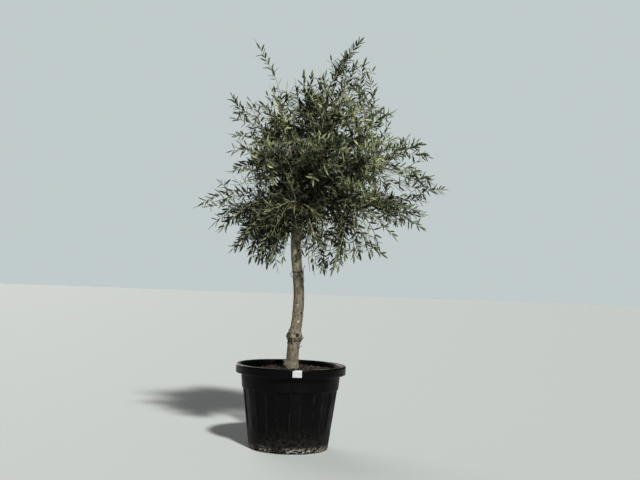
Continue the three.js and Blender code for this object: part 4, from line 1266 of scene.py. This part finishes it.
# The tie's loose ends, as curves of three controls from its height on the stem's right or left side
TIE_ENDS = {
    "upward": (1, [(0, -0.002, 0), (0.0005, -0.004, 0.014), (0.007, -0.004, 0.029)]),
    "downward": (1, [(0, -0.004, 0), (0.004, -0.006, -0.02), (0.0052, -0.004, -0.046)]),
    "loop": (-1, [(0, 0, 0), (-0.012, -0.001, -0.013), (0.003, 0, -0.027)]),
}
TIE_KNOT = SimpleNamespace(turns=2.5, radius=0.0022, high=0.004, low=-0.012)
# The thickness of boughs, limbs and twigs, their grids, and how uneven they are
WOOD = SimpleNamespace(
    bough_sides=26, limb_sides=18, limb_steps=64, collar=0.35, collar_reach=0.08, lumps=0.06, lump_size=0.02,
    onward=0.92, stem_tip=0.0018, shoot=0.0026, shoot_length=0.4, branching=0.8, shoot_tip=0.0008,
    lateral=0.0011, lateral_tip=0.0005, wander=0.02, wander_size=0.05,
)
# The floor and the sky, and the sun and the fill: strength, width in degrees, and the way to them
STAGE = SimpleNamespace(
    floor=30, level=-0.0005, floor_colour=(0.365, 0.385, 0.385), floor_rough=0.9,
    sky=(0.58, 0.64, 0.64), sky_light=0.18, gamma=0.86,
    sun_colour=(1, 0.98, 0.94), sun=(6.6, 5, (0.38, -1.0, 0.86)),
    fill=(1.7, 50, (-0.6, 1.0, 0.5)),
)
CAMERA = SimpleNamespace(place=(0.1143, -4.24, 0.7756), rise=2.0, roll=2.05, lens=53.44, sensor=36)


class PotShape:
    """The heights and radii that the pot, its soil and its label share."""

    def __init__(self, pot):
        self.pot = pot
        self.lip_bottom = pot.height - POT.lip
        self.band_bottom = self.lip_bottom - POT.band
        self.body_top = self.band_bottom - POT.step

    def body(self, height):
        slope = (POT.body_top_radius - self.pot.base_radius) / self.body_top
        return self.pot.base_radius + slope * np.minimum(height, self.body_top)

    def inside(self, height):
        spread = POT.mouth_radius - POT.body_top_radius + POT.wall
        beyond = np.maximum(0, height - self.body_top) / (self.pot.height - self.body_top)
        return self.body(height) - POT.wall + spread * beyond

    def lip_at(self, height):
        """The lip's outer radius: upright, and rounded at its top as a quarter of an ellipse."""
        over = np.clip((height - (self.pot.height - POT.lip_down)) / POT.lip_down, 0, 1)
        return self.pot.lip_radius - POT.lip_in * (1 - np.sqrt(1 - over**2))

    def outline(self):
        """The pot's outline from near the middle of its underside, up its outside, over its lip and down
        its inside to its floor: rows of radius and height."""
        top, lip = self.pot.height, self.pot.lip_radius
        low, high = POT.band_low_radius, POT.band_high_radius
        rows = [(radius, 0) for radius in POT_ROWS.underside]
        foot_out = self.body(POT.foot) - POT.foot_radius
        for turn in np.radians(POT_ROWS.foot):
            rows.append((POT.foot_radius + foot_out * math.sin(turn), POT.foot * (1 - math.cos(turn))))
        above, below = POT_ROWS.flutes_in
        fluted = POT.flute_foot + POT.flute_fade
        heights = [
            POT_ROWS.notch,
            np.arange(POT_ROWS.wall[0], POT.flute_foot, POT_ROWS.wall[1]),
            POT.flute_foot + POT.flute_fade * np.linspace(0, 1, POT_ROWS.fade),
            np.linspace(fluted + above, self.body_top - below, POT_ROWS.flutes),
            self.body_top - POT.flute_ends * np.linspace(1, 0, POT_ROWS.ends),
        ]
        rows += [(self.body(z), z) for z in np.concatenate(heights)]
        for share in POT_ROWS.step:
            rise = POT.step * (1 - math.cos(share * math.pi / 2))
            rows.append((part_way(POT.body_top_radius, low, share), self.body_top + rise))
        above, below = POT_ROWS.band_in
        for z in np.linspace(self.band_bottom + above, self.lip_bottom - below, POT_ROWS.band):
            rows.append((part_way(low, high, (z - self.band_bottom) / POT.band), z))
        rows.append((high + POT_ROWS.crease, self.lip_bottom))
        rows += [(lip - back, self.lip_bottom + rise) for back, rise in POT_ROWS.lip_under]
        upright = np.linspace(self.lip_bottom + POT_ROWS.lip_from, top - POT.lip_down, POT_ROWS.lip)
        rounded = top - POT.lip_down * (1 - np.sin(np.radians(POT_ROWS.rim)))
        rows += [(self.lip_at(z), z) for z in np.concatenate([upright, rounded])]
        rows.append((lip - POT_ROWS.rim_in, top))
        rows += [(POT.mouth_radius + out, top - drop) for out, drop in POT_ROWS.mouth]
        inside = (*(top - np.array(POT_ROWS.drops)), *POT_ROWS.inside, POT.floor + POT_ROWS.corner)
        rows += [(self.inside(z), z) for z in inside]
        rows.append((self.inside(POT.floor) - POT_ROWS.corner, POT.floor))
        return np.array(rows + [(POT_ROWS.underside[0], POT.floor)])


def pot_rings(shape):
    """The pot's rings, and for each corner how much it lies on a rib's edge, where scuffs and a painted
    highlight make the plastic paler. Each row of its outline is pulled in by the flutes between the ribs
    and by the drain notch under each rib, with the faint waves of thin moulded plastic."""
    pot = shape.pot
    radius, height = shape.outline().T[:, :, None]
    half = 180 / POT.ribs
    offsets = np.array(RIB_COLUMNS + [half] + [2 * half - x for x in RIB_COLUMNS[:0:-1]])
    ribs = POT.rib_turn - 90 + np.arange(POT.ribs) * 2 * half
    turn = np.radians(ribs[:, None] + offsets).ravel()
    offset = np.tile(np.minimum(offsets, 2 * half - offsets), POT.ribs)
    outside = (radius >= shape.body(height) - POT.near) & (height > POT.clear)
    envelope = smooth(height, POT.flute_foot, POT.flute_foot + POT.flute_fade)
    envelope = envelope * smooth(height, shape.body_top, shape.body_top - POT.flute_ends) * outside
    flute = smooth(offset, half - POT.flute_mouth, half - POT.flute_floor)
    notched = (height < POT.notch) & (offset < POT.notch_half)
    notched = notched & (radius > shape.inside(height) + POT.clear)
    wave = POT.wave * np.cos(POT.waves * turn) * bump_at(height, shape.lip_bottom, POT.wave_reach)
    wave = wave * (radius > POT.band_high_radius)
    radius = radius - pot.flute_depth * envelope * flute - POT.notch_depth * notched
    flat = about_axis(radius, turn, height + wave)
    dents = POT.dent * rough(flat, POT.dent_size, 2, SEED.dents) * smooth(height, *POT.dent_from)
    out = flat * (1, 1, 0) / np.maximum(np.linalg.norm(flat[..., :2], axis=-1), POT.near)[..., None]
    # The ribs' edges, where scuffs and a painted highlight lie
    edge = envelope * bump_at(offset, half - POT.flute_mouth, POT.edge)
    return flat + out * np.minimum(dents, 0)[..., None], edge


def soil_height(places):
    """The soil's surface: level in the middle and lower at the wall and on the left, where it has
    settled, with clods and a low mound at the trunk's foot."""
    out = np.linalg.norm(places[..., :2], axis=-1)
    level = SOIL.top - SOIL.shoulder_drop * smooth(out, SOIL.crown, SOIL.shoulder)
    level = level - (SOIL.edge_drop - SOIL.shoulder_drop) * smooth(out, SOIL.shoulder, SOIL.edge)
    level = level - SOIL.left_drop * smooth(-places[..., 0], *SOIL.left)
    flat = places * (1, 1, 0)
    clods = SOIL.clod * rough(flat, SOIL.clod_size, 3, SEED.clods)
    clods = clods + SOIL.grit * rough(flat, SOIL.grit_size, 3, SEED.grit)
    foot = np.linalg.norm(places[..., :2] - np.array(TRUNK_POINTS[0][:2]), axis=-1)
    return level + clods + SOIL.mound * bump_at(foot, SOIL.mound_out, SOIL.mound_reach)


def crumb_body():
    """A crumb's 12 corners and 20 faces: a ball of triangles, whose corners stand in three upright
    golden rectangles."""
    golden = (1 + math.sqrt(5)) / 2
    signs = [(a, b * golden) for a in (-1, 1) for b in (-1, 1)]
    corners = [(0, a, b) for a, b in signs] + [(a, b, 0) for a, b in signs] + [(b, 0, a) for a, b in signs]
    corners = unit(np.array(corners, float))
    near = np.linalg.norm(corners[:, None] - corners, axis=2) < CRUMB.side
    faces = []
    for a, b, c in np.argwhere(near[:, :, None] & near[:, None, :] & near[None, :, :]):
        if a < b < c:
            out = np.dot(np.cross(corners[b] - corners[a], corners[c] - corners[a]), corners[a])
            faces.append((a, b, c) if out > 0 else (a, c, b))
    return corners, np.array(faces)


def scatter_crumbs(name, count, sizes, seed, tints):
    """Loose crumbs that lie half sunk on the soil: each is the same ball, drawn out, turned and dented
    by chance."""
    dice = np.random.default_rng(seed)
    ball, faces = crumb_body()
    out = CRUMB.reach * np.sqrt(dice.random(count))
    place = about_axis(out, TURN * dice.random(count), 0)
    size = part_way(*sizes, dice.random(count) ** 3)
    place[:, 2] = soil_height(place) + size * CRUMB.sunk
    stretch = dice.uniform(*CRUMB.stretch, (count, 1, 3)) * size[:, None, None] / 2
    dents = dice.uniform(*CRUMB.dents, (count, len(ball), 1))
    first, other = np.moveaxis(unit(dice.normal(size=(count, 2, 3))), 1, 0)
    second = unit(np.cross(first, other))
    frames = np.stack([first, second, np.cross(first, second)], axis=1)
    corners = np.einsum("nij,njk->nik", ball * stretch * dents, frames) + place[:, None]
    triangles = faces[None] + (np.arange(count) * len(ball))[:, None, None]
    look = np.repeat(dice.integers(0, len(tints), count), len(faces))
    piece = make_piece(name, corners, triangles=triangles, looks=look, smoothed=False)
    looks = [grained(kind, seen(*tint), 0.95, 900, 3, 0.0008) for kind, tint in tints.items()]
    finish_piece(piece, looks)


def slab(name, front, back):
    """A thin closed body between two grids of corners, one in front of the other."""
    rows, columns = front.shape[:2]
    count = rows * columns
    faces = sheet_faces(rows, columns, closed=False)
    grid = np.arange(count).reshape(rows, columns)
    border = np.concatenate([grid[0, :-1], grid[:-1, -1], grid[-1, :0:-1], grid[:0:-1, 0]])
    onward = np.roll(border, -1)
    edge = np.stack([onward, border, border + count, onward + count], -1)
    corners = np.concatenate([front.reshape(-1, 3), back.reshape(-1, 3)])
    return make_piece(name, corners, np.concatenate([faces, faces[:, ::-1] + count, edge]))


# The pieces, one operator for each or for a group of like ones


class PieceOperator:
    """What the operators share: they can be undone."""

    bl_options = {"REGISTER", "UNDO"}


class MakePot(PieceOperator, bpy.types.Operator):
    """Turns the ribbed pot: a profile carried round its axis, with flutes and drain notches pressed in"""

    bl_idname = "olive.make_pot"
    bl_label = "Make pot"

    def execute(self, context):
        pot = context.scene.olive_pot
        rings, edge = pot_rings(PotShape(pot))
        piece = make_piece("pot_shell", *ring_body(rings))
        mark(piece, "edge", np.append(edge, [0, 0]))
        finish_piece(piece, [self.plastic(pot)], ["pot"])
        return {"FINISHED"}

    def plastic(self, pot):
        """Black plastic: satin, with broad dull patches, fine scratches, rib edges made paler by scuffs and
        a painted highlight, and dust and splashes of soil near the foot."""
        finish = Finish("Pot plastic", pot.plastic, 0.5, Specular_IOR_Level=0.16)
        height = finish.height()
        finish.lay(finish.patches(46, 6, 0.44, 0.78, 0, 0.4, distortion=0.4), TINT.film)
        # Rib edges made paler: scuffs, and a painted highlight along each edge
        scuff_and_highlight = finish.times(finish.kept("edge"), finish.patches(11, 4, 0.42, 0.62))
        finish.lay(finish.times(scuff_and_highlight, 0.26), TINT.scuff_and_highlight)
        # A thin grey film over the lower third, flecks that grow denser downwards, and soil at the edge
        haze = finish.times(finish.step(height, *DIRT.haze), finish.patches(60, 9, 0.34, 0.7))
        finish.lay(finish.times(haze, 0.12), pot.dust)
        flecks = finish.patches(150, 8, 0.57, 0.64, distortion=0.6)
        finish.lay(finish.times(flecks, finish.step(height, *DIRT.flecks), 0.55), pot.dust)
        soiled = finish.patches(110, 7, 0.47, 0.58, stretch=(1, 1, 1.6))
        soiled = finish.times(soiled, finish.patches(13, 2, 0.4, 0.53), finish.step(height, *DIRT.soil))
        finish.lay(finish.times(soiled, 0.95), TINT.splashed)
        drops = finish.step(finish.cells(120), 0.12, 0.07)
        finish.lay(finish.times(drops, finish.patches(9, 2, 0.56, 0.62), 0.3), pot.dust)
        # Dust on the lip's top, broken off in places
        worn = finish.step(height, *(pot.height - under for under in DIRT.lip))
        finish.lay(finish.times(worn, finish.patches(7, 4, 0.42, 0.6), 0.5), pot.dust)
        satin = finish.step(height, *SATIN_FROM, 0.5, 0.36)
        uneven = finish.patches(14, 5, 0.35, 0.68, -0.08, 0.1)
        dull = finish.times(finish.combine("MAXIMUM", haze, soiled), 0.3)
        finish.put(finish.shader.inputs["Roughness"], finish.combine("ADD", satin, uneven, dull))
        scratches = finish.noise(60, 2, (1, 1, 9))
        finish.relief(finish.combine("ADD", scratches, finish.noise(700, 2)), 0.00025, 0.6)
        return finish.material


class MakeSoil(PieceOperator, bpy.types.Operator):
    """Lays the soil as an uneven disc closed underneath, and scatters crumbs on it"""

    bl_idname = "olive.make_soil"
    bl_label = "Make soil"

    def execute(self, context):
        pot = context.scene.olive_pot
        rings = np.linspace(SOIL.radius, SOIL.middle, SOIL.rows)
        out = np.concatenate([[SOIL.inner, SOIL.outer, SOIL.radius], rings])
        flat = about_axis(out[:, None], even_turns(SOIL.columns), 0)
        flat[..., 2] = soil_height(flat)
        flat[:3, :, 2] = np.array([SOIL.bottom, SOIL.bottom, SOIL.bottom + SOIL.bevel])[:, None]
        finish_piece(make_piece("soil_bed", *ring_body(flat)), [self.compost(pot)], ["soil"])
        scatter_crumbs("soil_crumbs", pot.crumbs, CRUMB.sizes, SEED.crumbs, CRUMB_TINTS)
        chips = pot.crumbs // CRUMB.chips
        scatter_crumbs("soil_chips", chips, CRUMB.chip_sizes, SEED.chips, CHIP_TINTS)
        return {"FINISHED"}

    def compost(self, pot):
        """Compost: brown, with darker hollows and reddish specks."""
        finish = Finish("Compost", pot.soil, 0.95)
        finish.lay(finish.patches(160, 5, 0.35, 0.65), pot.soil, over=TINT.damp)
        finish.lay(finish.step(finish.cells(330), 0.22, 0.1), TINT.fibre)
        finish.relief(finish.noise(420, 5), 0.003)
        return finish.material


class MakeLabel(PieceOperator, bpy.types.Operator):
    """Sticks the blank label on the lip: a sheet that follows the lip's curve and rounding"""

    bl_idname = "olive.make_label"
    bl_label = "Make label"

    def execute(self, context):
        shape = PotShape(context.scene.olive_pot)
        across_share = np.linspace(-0.5, 0.5, LABEL.columns)
        up_share = np.linspace(0, 1, LABEL.rows)[:, None]
        bite = LABEL.bite * smooth(across_share, LABEL.bite_end, -0.5)
        height = LABEL.top - LABEL.height + (LABEL.height - bite) * up_share
        turn = np.radians(LABEL.turn - 90) + LABEL.width * across_share / shape.pot.lip_radius
        spots = about_axis(LABEL.radius, turn, 0) + height[..., None]
        creases = LABEL.crease * rough(spots, LABEL.crease_size, 2, SEED.creases)
        lift = LABEL.off + np.maximum(0, creases)

        def sheet(off):
            return about_axis(shape.lip_at(height) + off, turn, height)

        piece = slab("label_sheet", sheet(lift), sheet(-LABEL.off + 0 * lift))
        finish = Finish("Label paper", TINT.paper, 0.6)
        finish.lay(finish.patches(70, 5, 0.45, 0.8, 0, 0.3), TINT.grime)
        finish.relief(finish.noise(120, 3, None, 1.5), 0.0006, 0.5)
        finish_piece(piece, [finish.material], ["label"])
        return {"FINISHED"}


class MakeTrunk(PieceOperator, bpy.types.Operator):
    """Grows the trunk: rings along its bent middle line, with bark, knots and pruning scars"""

    bl_idname = "olive.make_trunk"
    bl_label = "Make trunk"

    def execute(self, context):
        bark = context.scene.olive_bark
        rings, kept = trunk_body(bark)
        piece = make_piece("trunk_bark", *ring_body(rings))
        for name, values in kept.items():
            mark(piece, name, np.concatenate([values.ravel(), values[0, :1], values[-1, :1]]))
        finish_piece(piece, [bark_finish("Old bark", bark, True)], ["trunk"])
        lines = np.array([[start, start, end] for start, end, radius in STUBS])
        radii = np.array([radius for start, end, radius in STUBS])
        sizes = (radii, radii * STUB.tip, STUB.steps, STUB.sides, STUB.wander, SEED.stub_wander)
        stubs = twig_tubes("trunk_stubs", lines, *sizes)
        finish_piece(stubs, [grained("Dead twigs", TINT.dead_wood, 0.9, 600, 3, 0.0006)])
        return {"FINISHED"}


class MakeTie(PieceOperator, bpy.types.Operator):
    """Ties the dark wire round the stem: a ring that follows the bark, and two loose ends"""

    bl_idname = "olive.make_tie"
    bl_label = "Make tie"

    def execute(self, context):
        bark = context.scene.olive_bark
        line = through(TRUNK_POINTS, np.linspace(0, 1, TIE.samples))
        middle = line[np.argmin(np.abs(line[:, 2] - TIE.height))]
        turns = even_turns(TIE.columns)[:, None]
        round_wire = even_turns(TIE.sides)
        radius = trunk_radius(np.array(TIE.height), turns, bark) + TIE.off
        radius = radius + TIE.wire * np.cos(round_wire)
        rise = TIE.wire * np.sin(round_wire) + TIE.slant * np.cos(turns)
        spots = np.stack([-radius * np.sin(turns), radius * np.cos(turns), rise], axis=-1) + middle
        # The faces of one more row, whose corners are the first row's again
        faces = sheet_faces(TIE.columns + 1, TIE.sides) % (TIE.columns * TIE.sides)
        look = grained("Coated wire", TINT.wire, 0.5, 600, 2, 0.0002)
        ring = make_piece("tie_ring", spots, np.roll(faces[:, ::-1], 1, axis=1))
        finish_piece(ring, [look], ["tie"])
        along = np.linspace(0, 1, TIE.steps)
        edge = bark.waist_radius + TIE.off + TIE.wire
        ends = [
            middle + (side * edge, 0, 0) + bend_at(np.array(path), along) for side, path in TIE_ENDS.values()
        ]
        turn = along * TURN * TIE_KNOT.turns
        rise = part_way(TIE_KNOT.high, TIE_KNOT.low, along)
        ends.append(middle + (edge, -TIE.wire, 0) + about_axis(TIE_KNOT.radius, turn, rise))
        strands = tubes("tie_ends", np.array(ends), np.full((len(ends), TIE.steps), TIE.thin), TIE.sides)
        finish_piece(strands, [look])
        return {"FINISHED"}


class MakeBoughs(PieceOperator, bpy.types.Operator):
    """Grows the boughs and limbs: uneven tubes along the curves of the crown's rule"""

    bl_idname = "olive.make_boughs"
    bl_label = "Make boughs"

    def execute(self, context):
        bark = context.scene.olive_bark
        growth = Growth(context.scene.olive_crown)
        kinds = {
            "bough": (growth.boughs, BOUGH, WOOD.bough_sides),
            "limb": (~growth.boughs, LIMB, WOOD.limb_sides),
        }
        for kind, (own, shape, sides) in kinds.items():
            piece = self.grow(f"{kind}s_bark", growth.limbs[own], shape, sides)
            nodes = [f"{kind}_{name}" for name in np.array(growth.names)[own]]
            look = bark_finish(f"{kind.capitalize()} bark", bark, False)
            finish_piece(piece, [look], nodes)
        return {"FINISHED"}

    def grow(self, name, lines, kind, sides):
        """Tubes that taper from their base to their tip, with a collar at the base and low lumps."""
        steps = np.linspace(0, 1, WOOD.limb_steps)
        centres = bend_at(lines[:, None], steps[None, :])
        radius = part_way(kind.radius, kind.tip, steps)
        radius = radius * (1 + WOOD.collar * bump_at(steps, 0, WOOD.collar_reach))
        radii = np.broadcast_to(radius, centres.shape[:2])
        spots = rings_along(centres, radii, sides) * (1, 1, BARK.lump_drawn_out)
        lumps = rough(spots, WOOD.lump_size, 3, SEED.limb_lumps)
        return tubes(name, centres, radii[..., None] * (1 + WOOD.lumps * lumps), sides)


def twig_tubes(name, lines, start, end, steps, sides, wander, seed):
    """Tubes that taper evenly along curves and wander a little to both sides of them."""
    along = np.linspace(0, 1, steps)
    centres = bend_at(lines[:, None], along[None, :])
    length = np.linalg.norm(lines[:, 2] - lines[:, 0], axis=1)[:, None, None]
    stray = [rough(centres, WOOD.wander_size, 2, seed + axis) for axis in range(3)]
    hold = np.sin(math.pi * along)[:, None]
    start, end = (np.broadcast_to(radius, len(lines))[:, None] for radius in (start, end))
    centres = centres + wander * length * hold * np.stack(stray, axis=-1)
    return tubes(name, centres, part_way(start, end, along), sides)


class MakeTwigs(PieceOperator, bpy.types.Operator):
    """Grows the stems, shoots, laterals and fine twigs: thin tubes along the curves of the crown's rule"""

    bl_idname = "olive.make_twigs"
    bl_label = "Make twigs"

    def execute(self, context):
        look = twig_finish(context.scene.olive_bark)
        growth = Growth(context.scene.olive_crown)
        shoots = growth.shoots
        laterals, fine = all_twigs(shoots)
        thick = WOOD.onward * np.where(growth.boughs, BOUGH.tip, LIMB.tip)
        host = part_way(thick[shoots.mass], WOOD.stem_tip, shoots.start)
        base = np.minimum(WOOD.shoot * np.sqrt(shoots.length / WOOD.shoot_length), WOOD.branching * host)
        twig = (WOOD.lateral, WOOD.lateral_tip)
        # Lines, radius at both ends, steps, sides, how far they wander, and by which chance
        pieces = {
            "stems": (growth.stems, thick, WOOD.stem_tip, 34, 12, 0, 0),
            "shoots": (shoots.line, base, WOOD.shoot_tip, 18, 7, WOOD.wander, SEED.wander),
            "laterals": (laterals.line, *twig, 7, 5, 0, 0),
            "fine_twigs": (fine.line, *twig, 4, 4, 0, 0),
        }
        for name, sizes in pieces.items():
            finish_piece(twig_tubes(name, *sizes), [look])
        return {"FINISHED"}


class MakeLeaves(PieceOperator, bpy.types.Operator):
    """Grows the leaves: crossed pairs along every shoot and twig, one piece for each mass of foliage"""

    bl_idname = "olive.make_leaves"
    bl_label = "Make leaves"

    def execute(self, context):
        leaves = context.scene.olive_leaves
        growth = Growth(context.scene.olive_crown)
        shoots = growth.shoots
        laterals, fine = all_twigs(shoots)
        bare = np.where(shoots.twigs < 1, LEAF.bare_long, LEAF.bare_shoot)
        bare[shoots.twigs == 0] = LEAF.bare_end
        # Where they end at the outline, leaves stand free and are seen at their full size
        finer = range(FINER_FIRST + 1, FINER_FIRST + len(OUTLINE_SHOOTS))
        outline = np.isin(shoots.index, [*range(len(LONG_SHOOTS)), *finer])
        larger = np.where(outline, LEAF.on_outline, 1)
        sets = [leaf_places(shoots, bare, leaves, SEED.shoot_leaves, larger)]
        for twigs, share, seed in (
            (laterals, LEAF.bare_lateral, SEED.lateral_leaves),
            (fine, LEAF.bare_fine, SEED.fine_leaves),
        ):
            sets.append(leaf_places(twigs, np.full(len(twigs.length), share), leaves, seed))
        every = joined(sets)
        dice = np.random.default_rng(SEED.open_leaves).random(len(every.mass))
        every = chosen(every, dice > cleared(every.root))
        looks = self.looks(leaves)
        for mass, name in enumerate(growth.names):
            part = chosen(every, every.mass == mass)
            piece = leaves_piece(f"leaves_{name}", part, leaves, mass)
            finish_piece(piece, looks, [f"foliage_{name}"])
        return {"FINISHED"}

    def looks(self, leaves):
        """Plain colours: even steps of the upper sides from painted shade to painted sunlight, then two of
        the underside, the first a copy painted shaded.
        """
        dark, light, under = (np.array(c) for c in (leaves.upper_dark, leaves.upper_light, leaves.under))
        sunlit = (np.arange(TONES) / (TONES - 1))[:, None] ** BLADE.bend
        shades = [part_way(dark, light, share) for share in sunlit]
        looks = [self.blade(f"Leaf {number}", shade, BLADE.upper) for number, shade in enumerate(shades, 1)]
        looks.append(self.blade("Underside shaded", under * BLADE.shaded, BLADE.lower))
        return looks + [self.blade("Underside", under, BLADE.lower)]

    def blade(self, name, colour, roughness):
        grain = (BLADE.grain, 1, BLADE.grain_height, 0.5)
        return grained(name, tuple(colour), roughness, *grain, Specular_IOR_Level=BLADE.gloss)


class SetStage(PieceOperator, bpy.types.Operator):
    """Sets the pale floor, the soft light and the camera at the height of the crown's foot"""

    bl_idname = "olive.set_stage"
    bl_label = "Set stage"

    def execute(self, context):
        scene = context.scene
        scene.view_settings.view_transform = "Standard"
        scene.view_settings.gamma = STAGE.gamma
        half, level = STAGE.floor, STAGE.level
        corners = [(-half, -half, level), (half, -half, level), (half, half, level), (-half, half, level)]
        floor = make_piece("floor", corners, [(0, 1, 2, 3)], smoothed=False)
        floor.data.materials.append(Finish("Pale floor", STAGE.floor_colour, STAGE.floor_rough).material)
        world = bpy.data.worlds.new("Soft sky")
        world.use_nodes = True
        # The sky is seen bright, and lights the tree less, so that the crown's inside stays dark
        tree = world.node_tree
        seen_sky = tree.nodes["Background"]
        seen_sky.inputs["Color"].default_value = (*STAGE.sky, 1)
        soft_sky = tree.nodes.new("ShaderNodeBackground")
        soft_sky.inputs["Color"].default_value = (*STAGE.sky, 1)
        soft_sky.inputs["Strength"].default_value = STAGE.sky_light
        either = tree.nodes.new("ShaderNodeMixShader")
        rays = tree.nodes.new("ShaderNodeLightPath")
        tree.links.new(rays.outputs["Is Camera Ray"], either.inputs[0])
        tree.links.new(soft_sky.outputs[0], either.inputs[1])
        tree.links.new(seen_sky.outputs[0], either.inputs[2])
        tree.links.new(either.outputs[0], tree.nodes["World Output"].inputs["Surface"])
        scene.world = world
        self.shine("Soft sun", *STAGE.sun)
        self.shine("Soft fill from behind", *STAGE.fill)
        lens = bpy.data.cameras.new("Camera")
        lens.lens = CAMERA.lens
        lens.sensor_width = CAMERA.sensor
        camera = bpy.data.objects.new("Camera", lens)
        rise, roll = math.radians(CAMERA.rise), math.radians(CAMERA.roll)
        right = Vector((math.cos(roll), 0, math.sin(roll)))
        ahead = Vector((-math.sin(rise) * math.sin(roll), math.cos(rise), math.sin(rise) * math.cos(roll)))
        above = right.cross(ahead)
        turn = Matrix((right, above, -ahead)).transposed().to_4x4()
        camera.matrix_world = Matrix.Translation(CAMERA.place) @ turn
        scene.collection.objects.link(camera)
        scene.camera = camera
        return {"FINISHED"}

    def shine(self, name, strength, width, way):
        """Even light from one side, as wide as a disc of some degrees in the sky."""
        light = bpy.data.lights.new(name, "SUN")
        light.energy = strength
        light.angle = math.radians(width)
        light.color = STAGE.sun_colour
        lamp = bpy.data.objects.new(name, light)
        lamp.rotation_euler = Vector(way).to_track_quat("Z", "Y").to_euler()
        bpy.context.scene.collection.objects.link(lamp)


class OlivePanel(bpy.types.Panel):
    """The olive's tools"""

    bl_idname = "VIEW3D_PT_olive"
    bl_label = "Olive"
    bl_space_type = "VIEW_3D"
    bl_region_type = "UI"
    bl_category = "Olive"

    def draw(self, context):
        for operator in OPERATORS:
            self.layout.operator(operator.bl_idname)
        for name in SETTINGS:
            box = self.layout.box()
            settings = getattr(context.scene, name)
            box.label(text=settings.bl_rna.description)
            for key in settings.__annotations__:
                box.prop(settings, key)


SETTINGS = {
    "olive_pot": OlivePot,
    "olive_bark": OliveBark,
    "olive_crown": OliveCrown,
    "olive_leaves": OliveLeaves,
}
OPERATORS = [SetStage, MakePot, MakeSoil, MakeLabel, MakeTrunk, MakeTie, MakeBoughs, MakeTwigs, MakeLeaves]


def register():
    for kind in (*SETTINGS.values(), *OPERATORS, OlivePanel):
        bpy.utils.register_class(kind)
    for name, kind in SETTINGS.items():
        setattr(bpy.types.Scene, name, bpy.props.PointerProperty(type=kind))


def unregister():
    for name in SETTINGS:
        delattr(bpy.types.Scene, name)
    for kind in (*SETTINGS.values(), *OPERATORS, OlivePanel):
        bpy.utils.unregister_class(kind)


def main():
    register()
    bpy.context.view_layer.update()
    for operator in OPERATORS:
        group, name = operator.bl_idname.split(".")
        getattr(getattr(bpy.ops, group), name)()


if __name__ == "__main__":
    main()
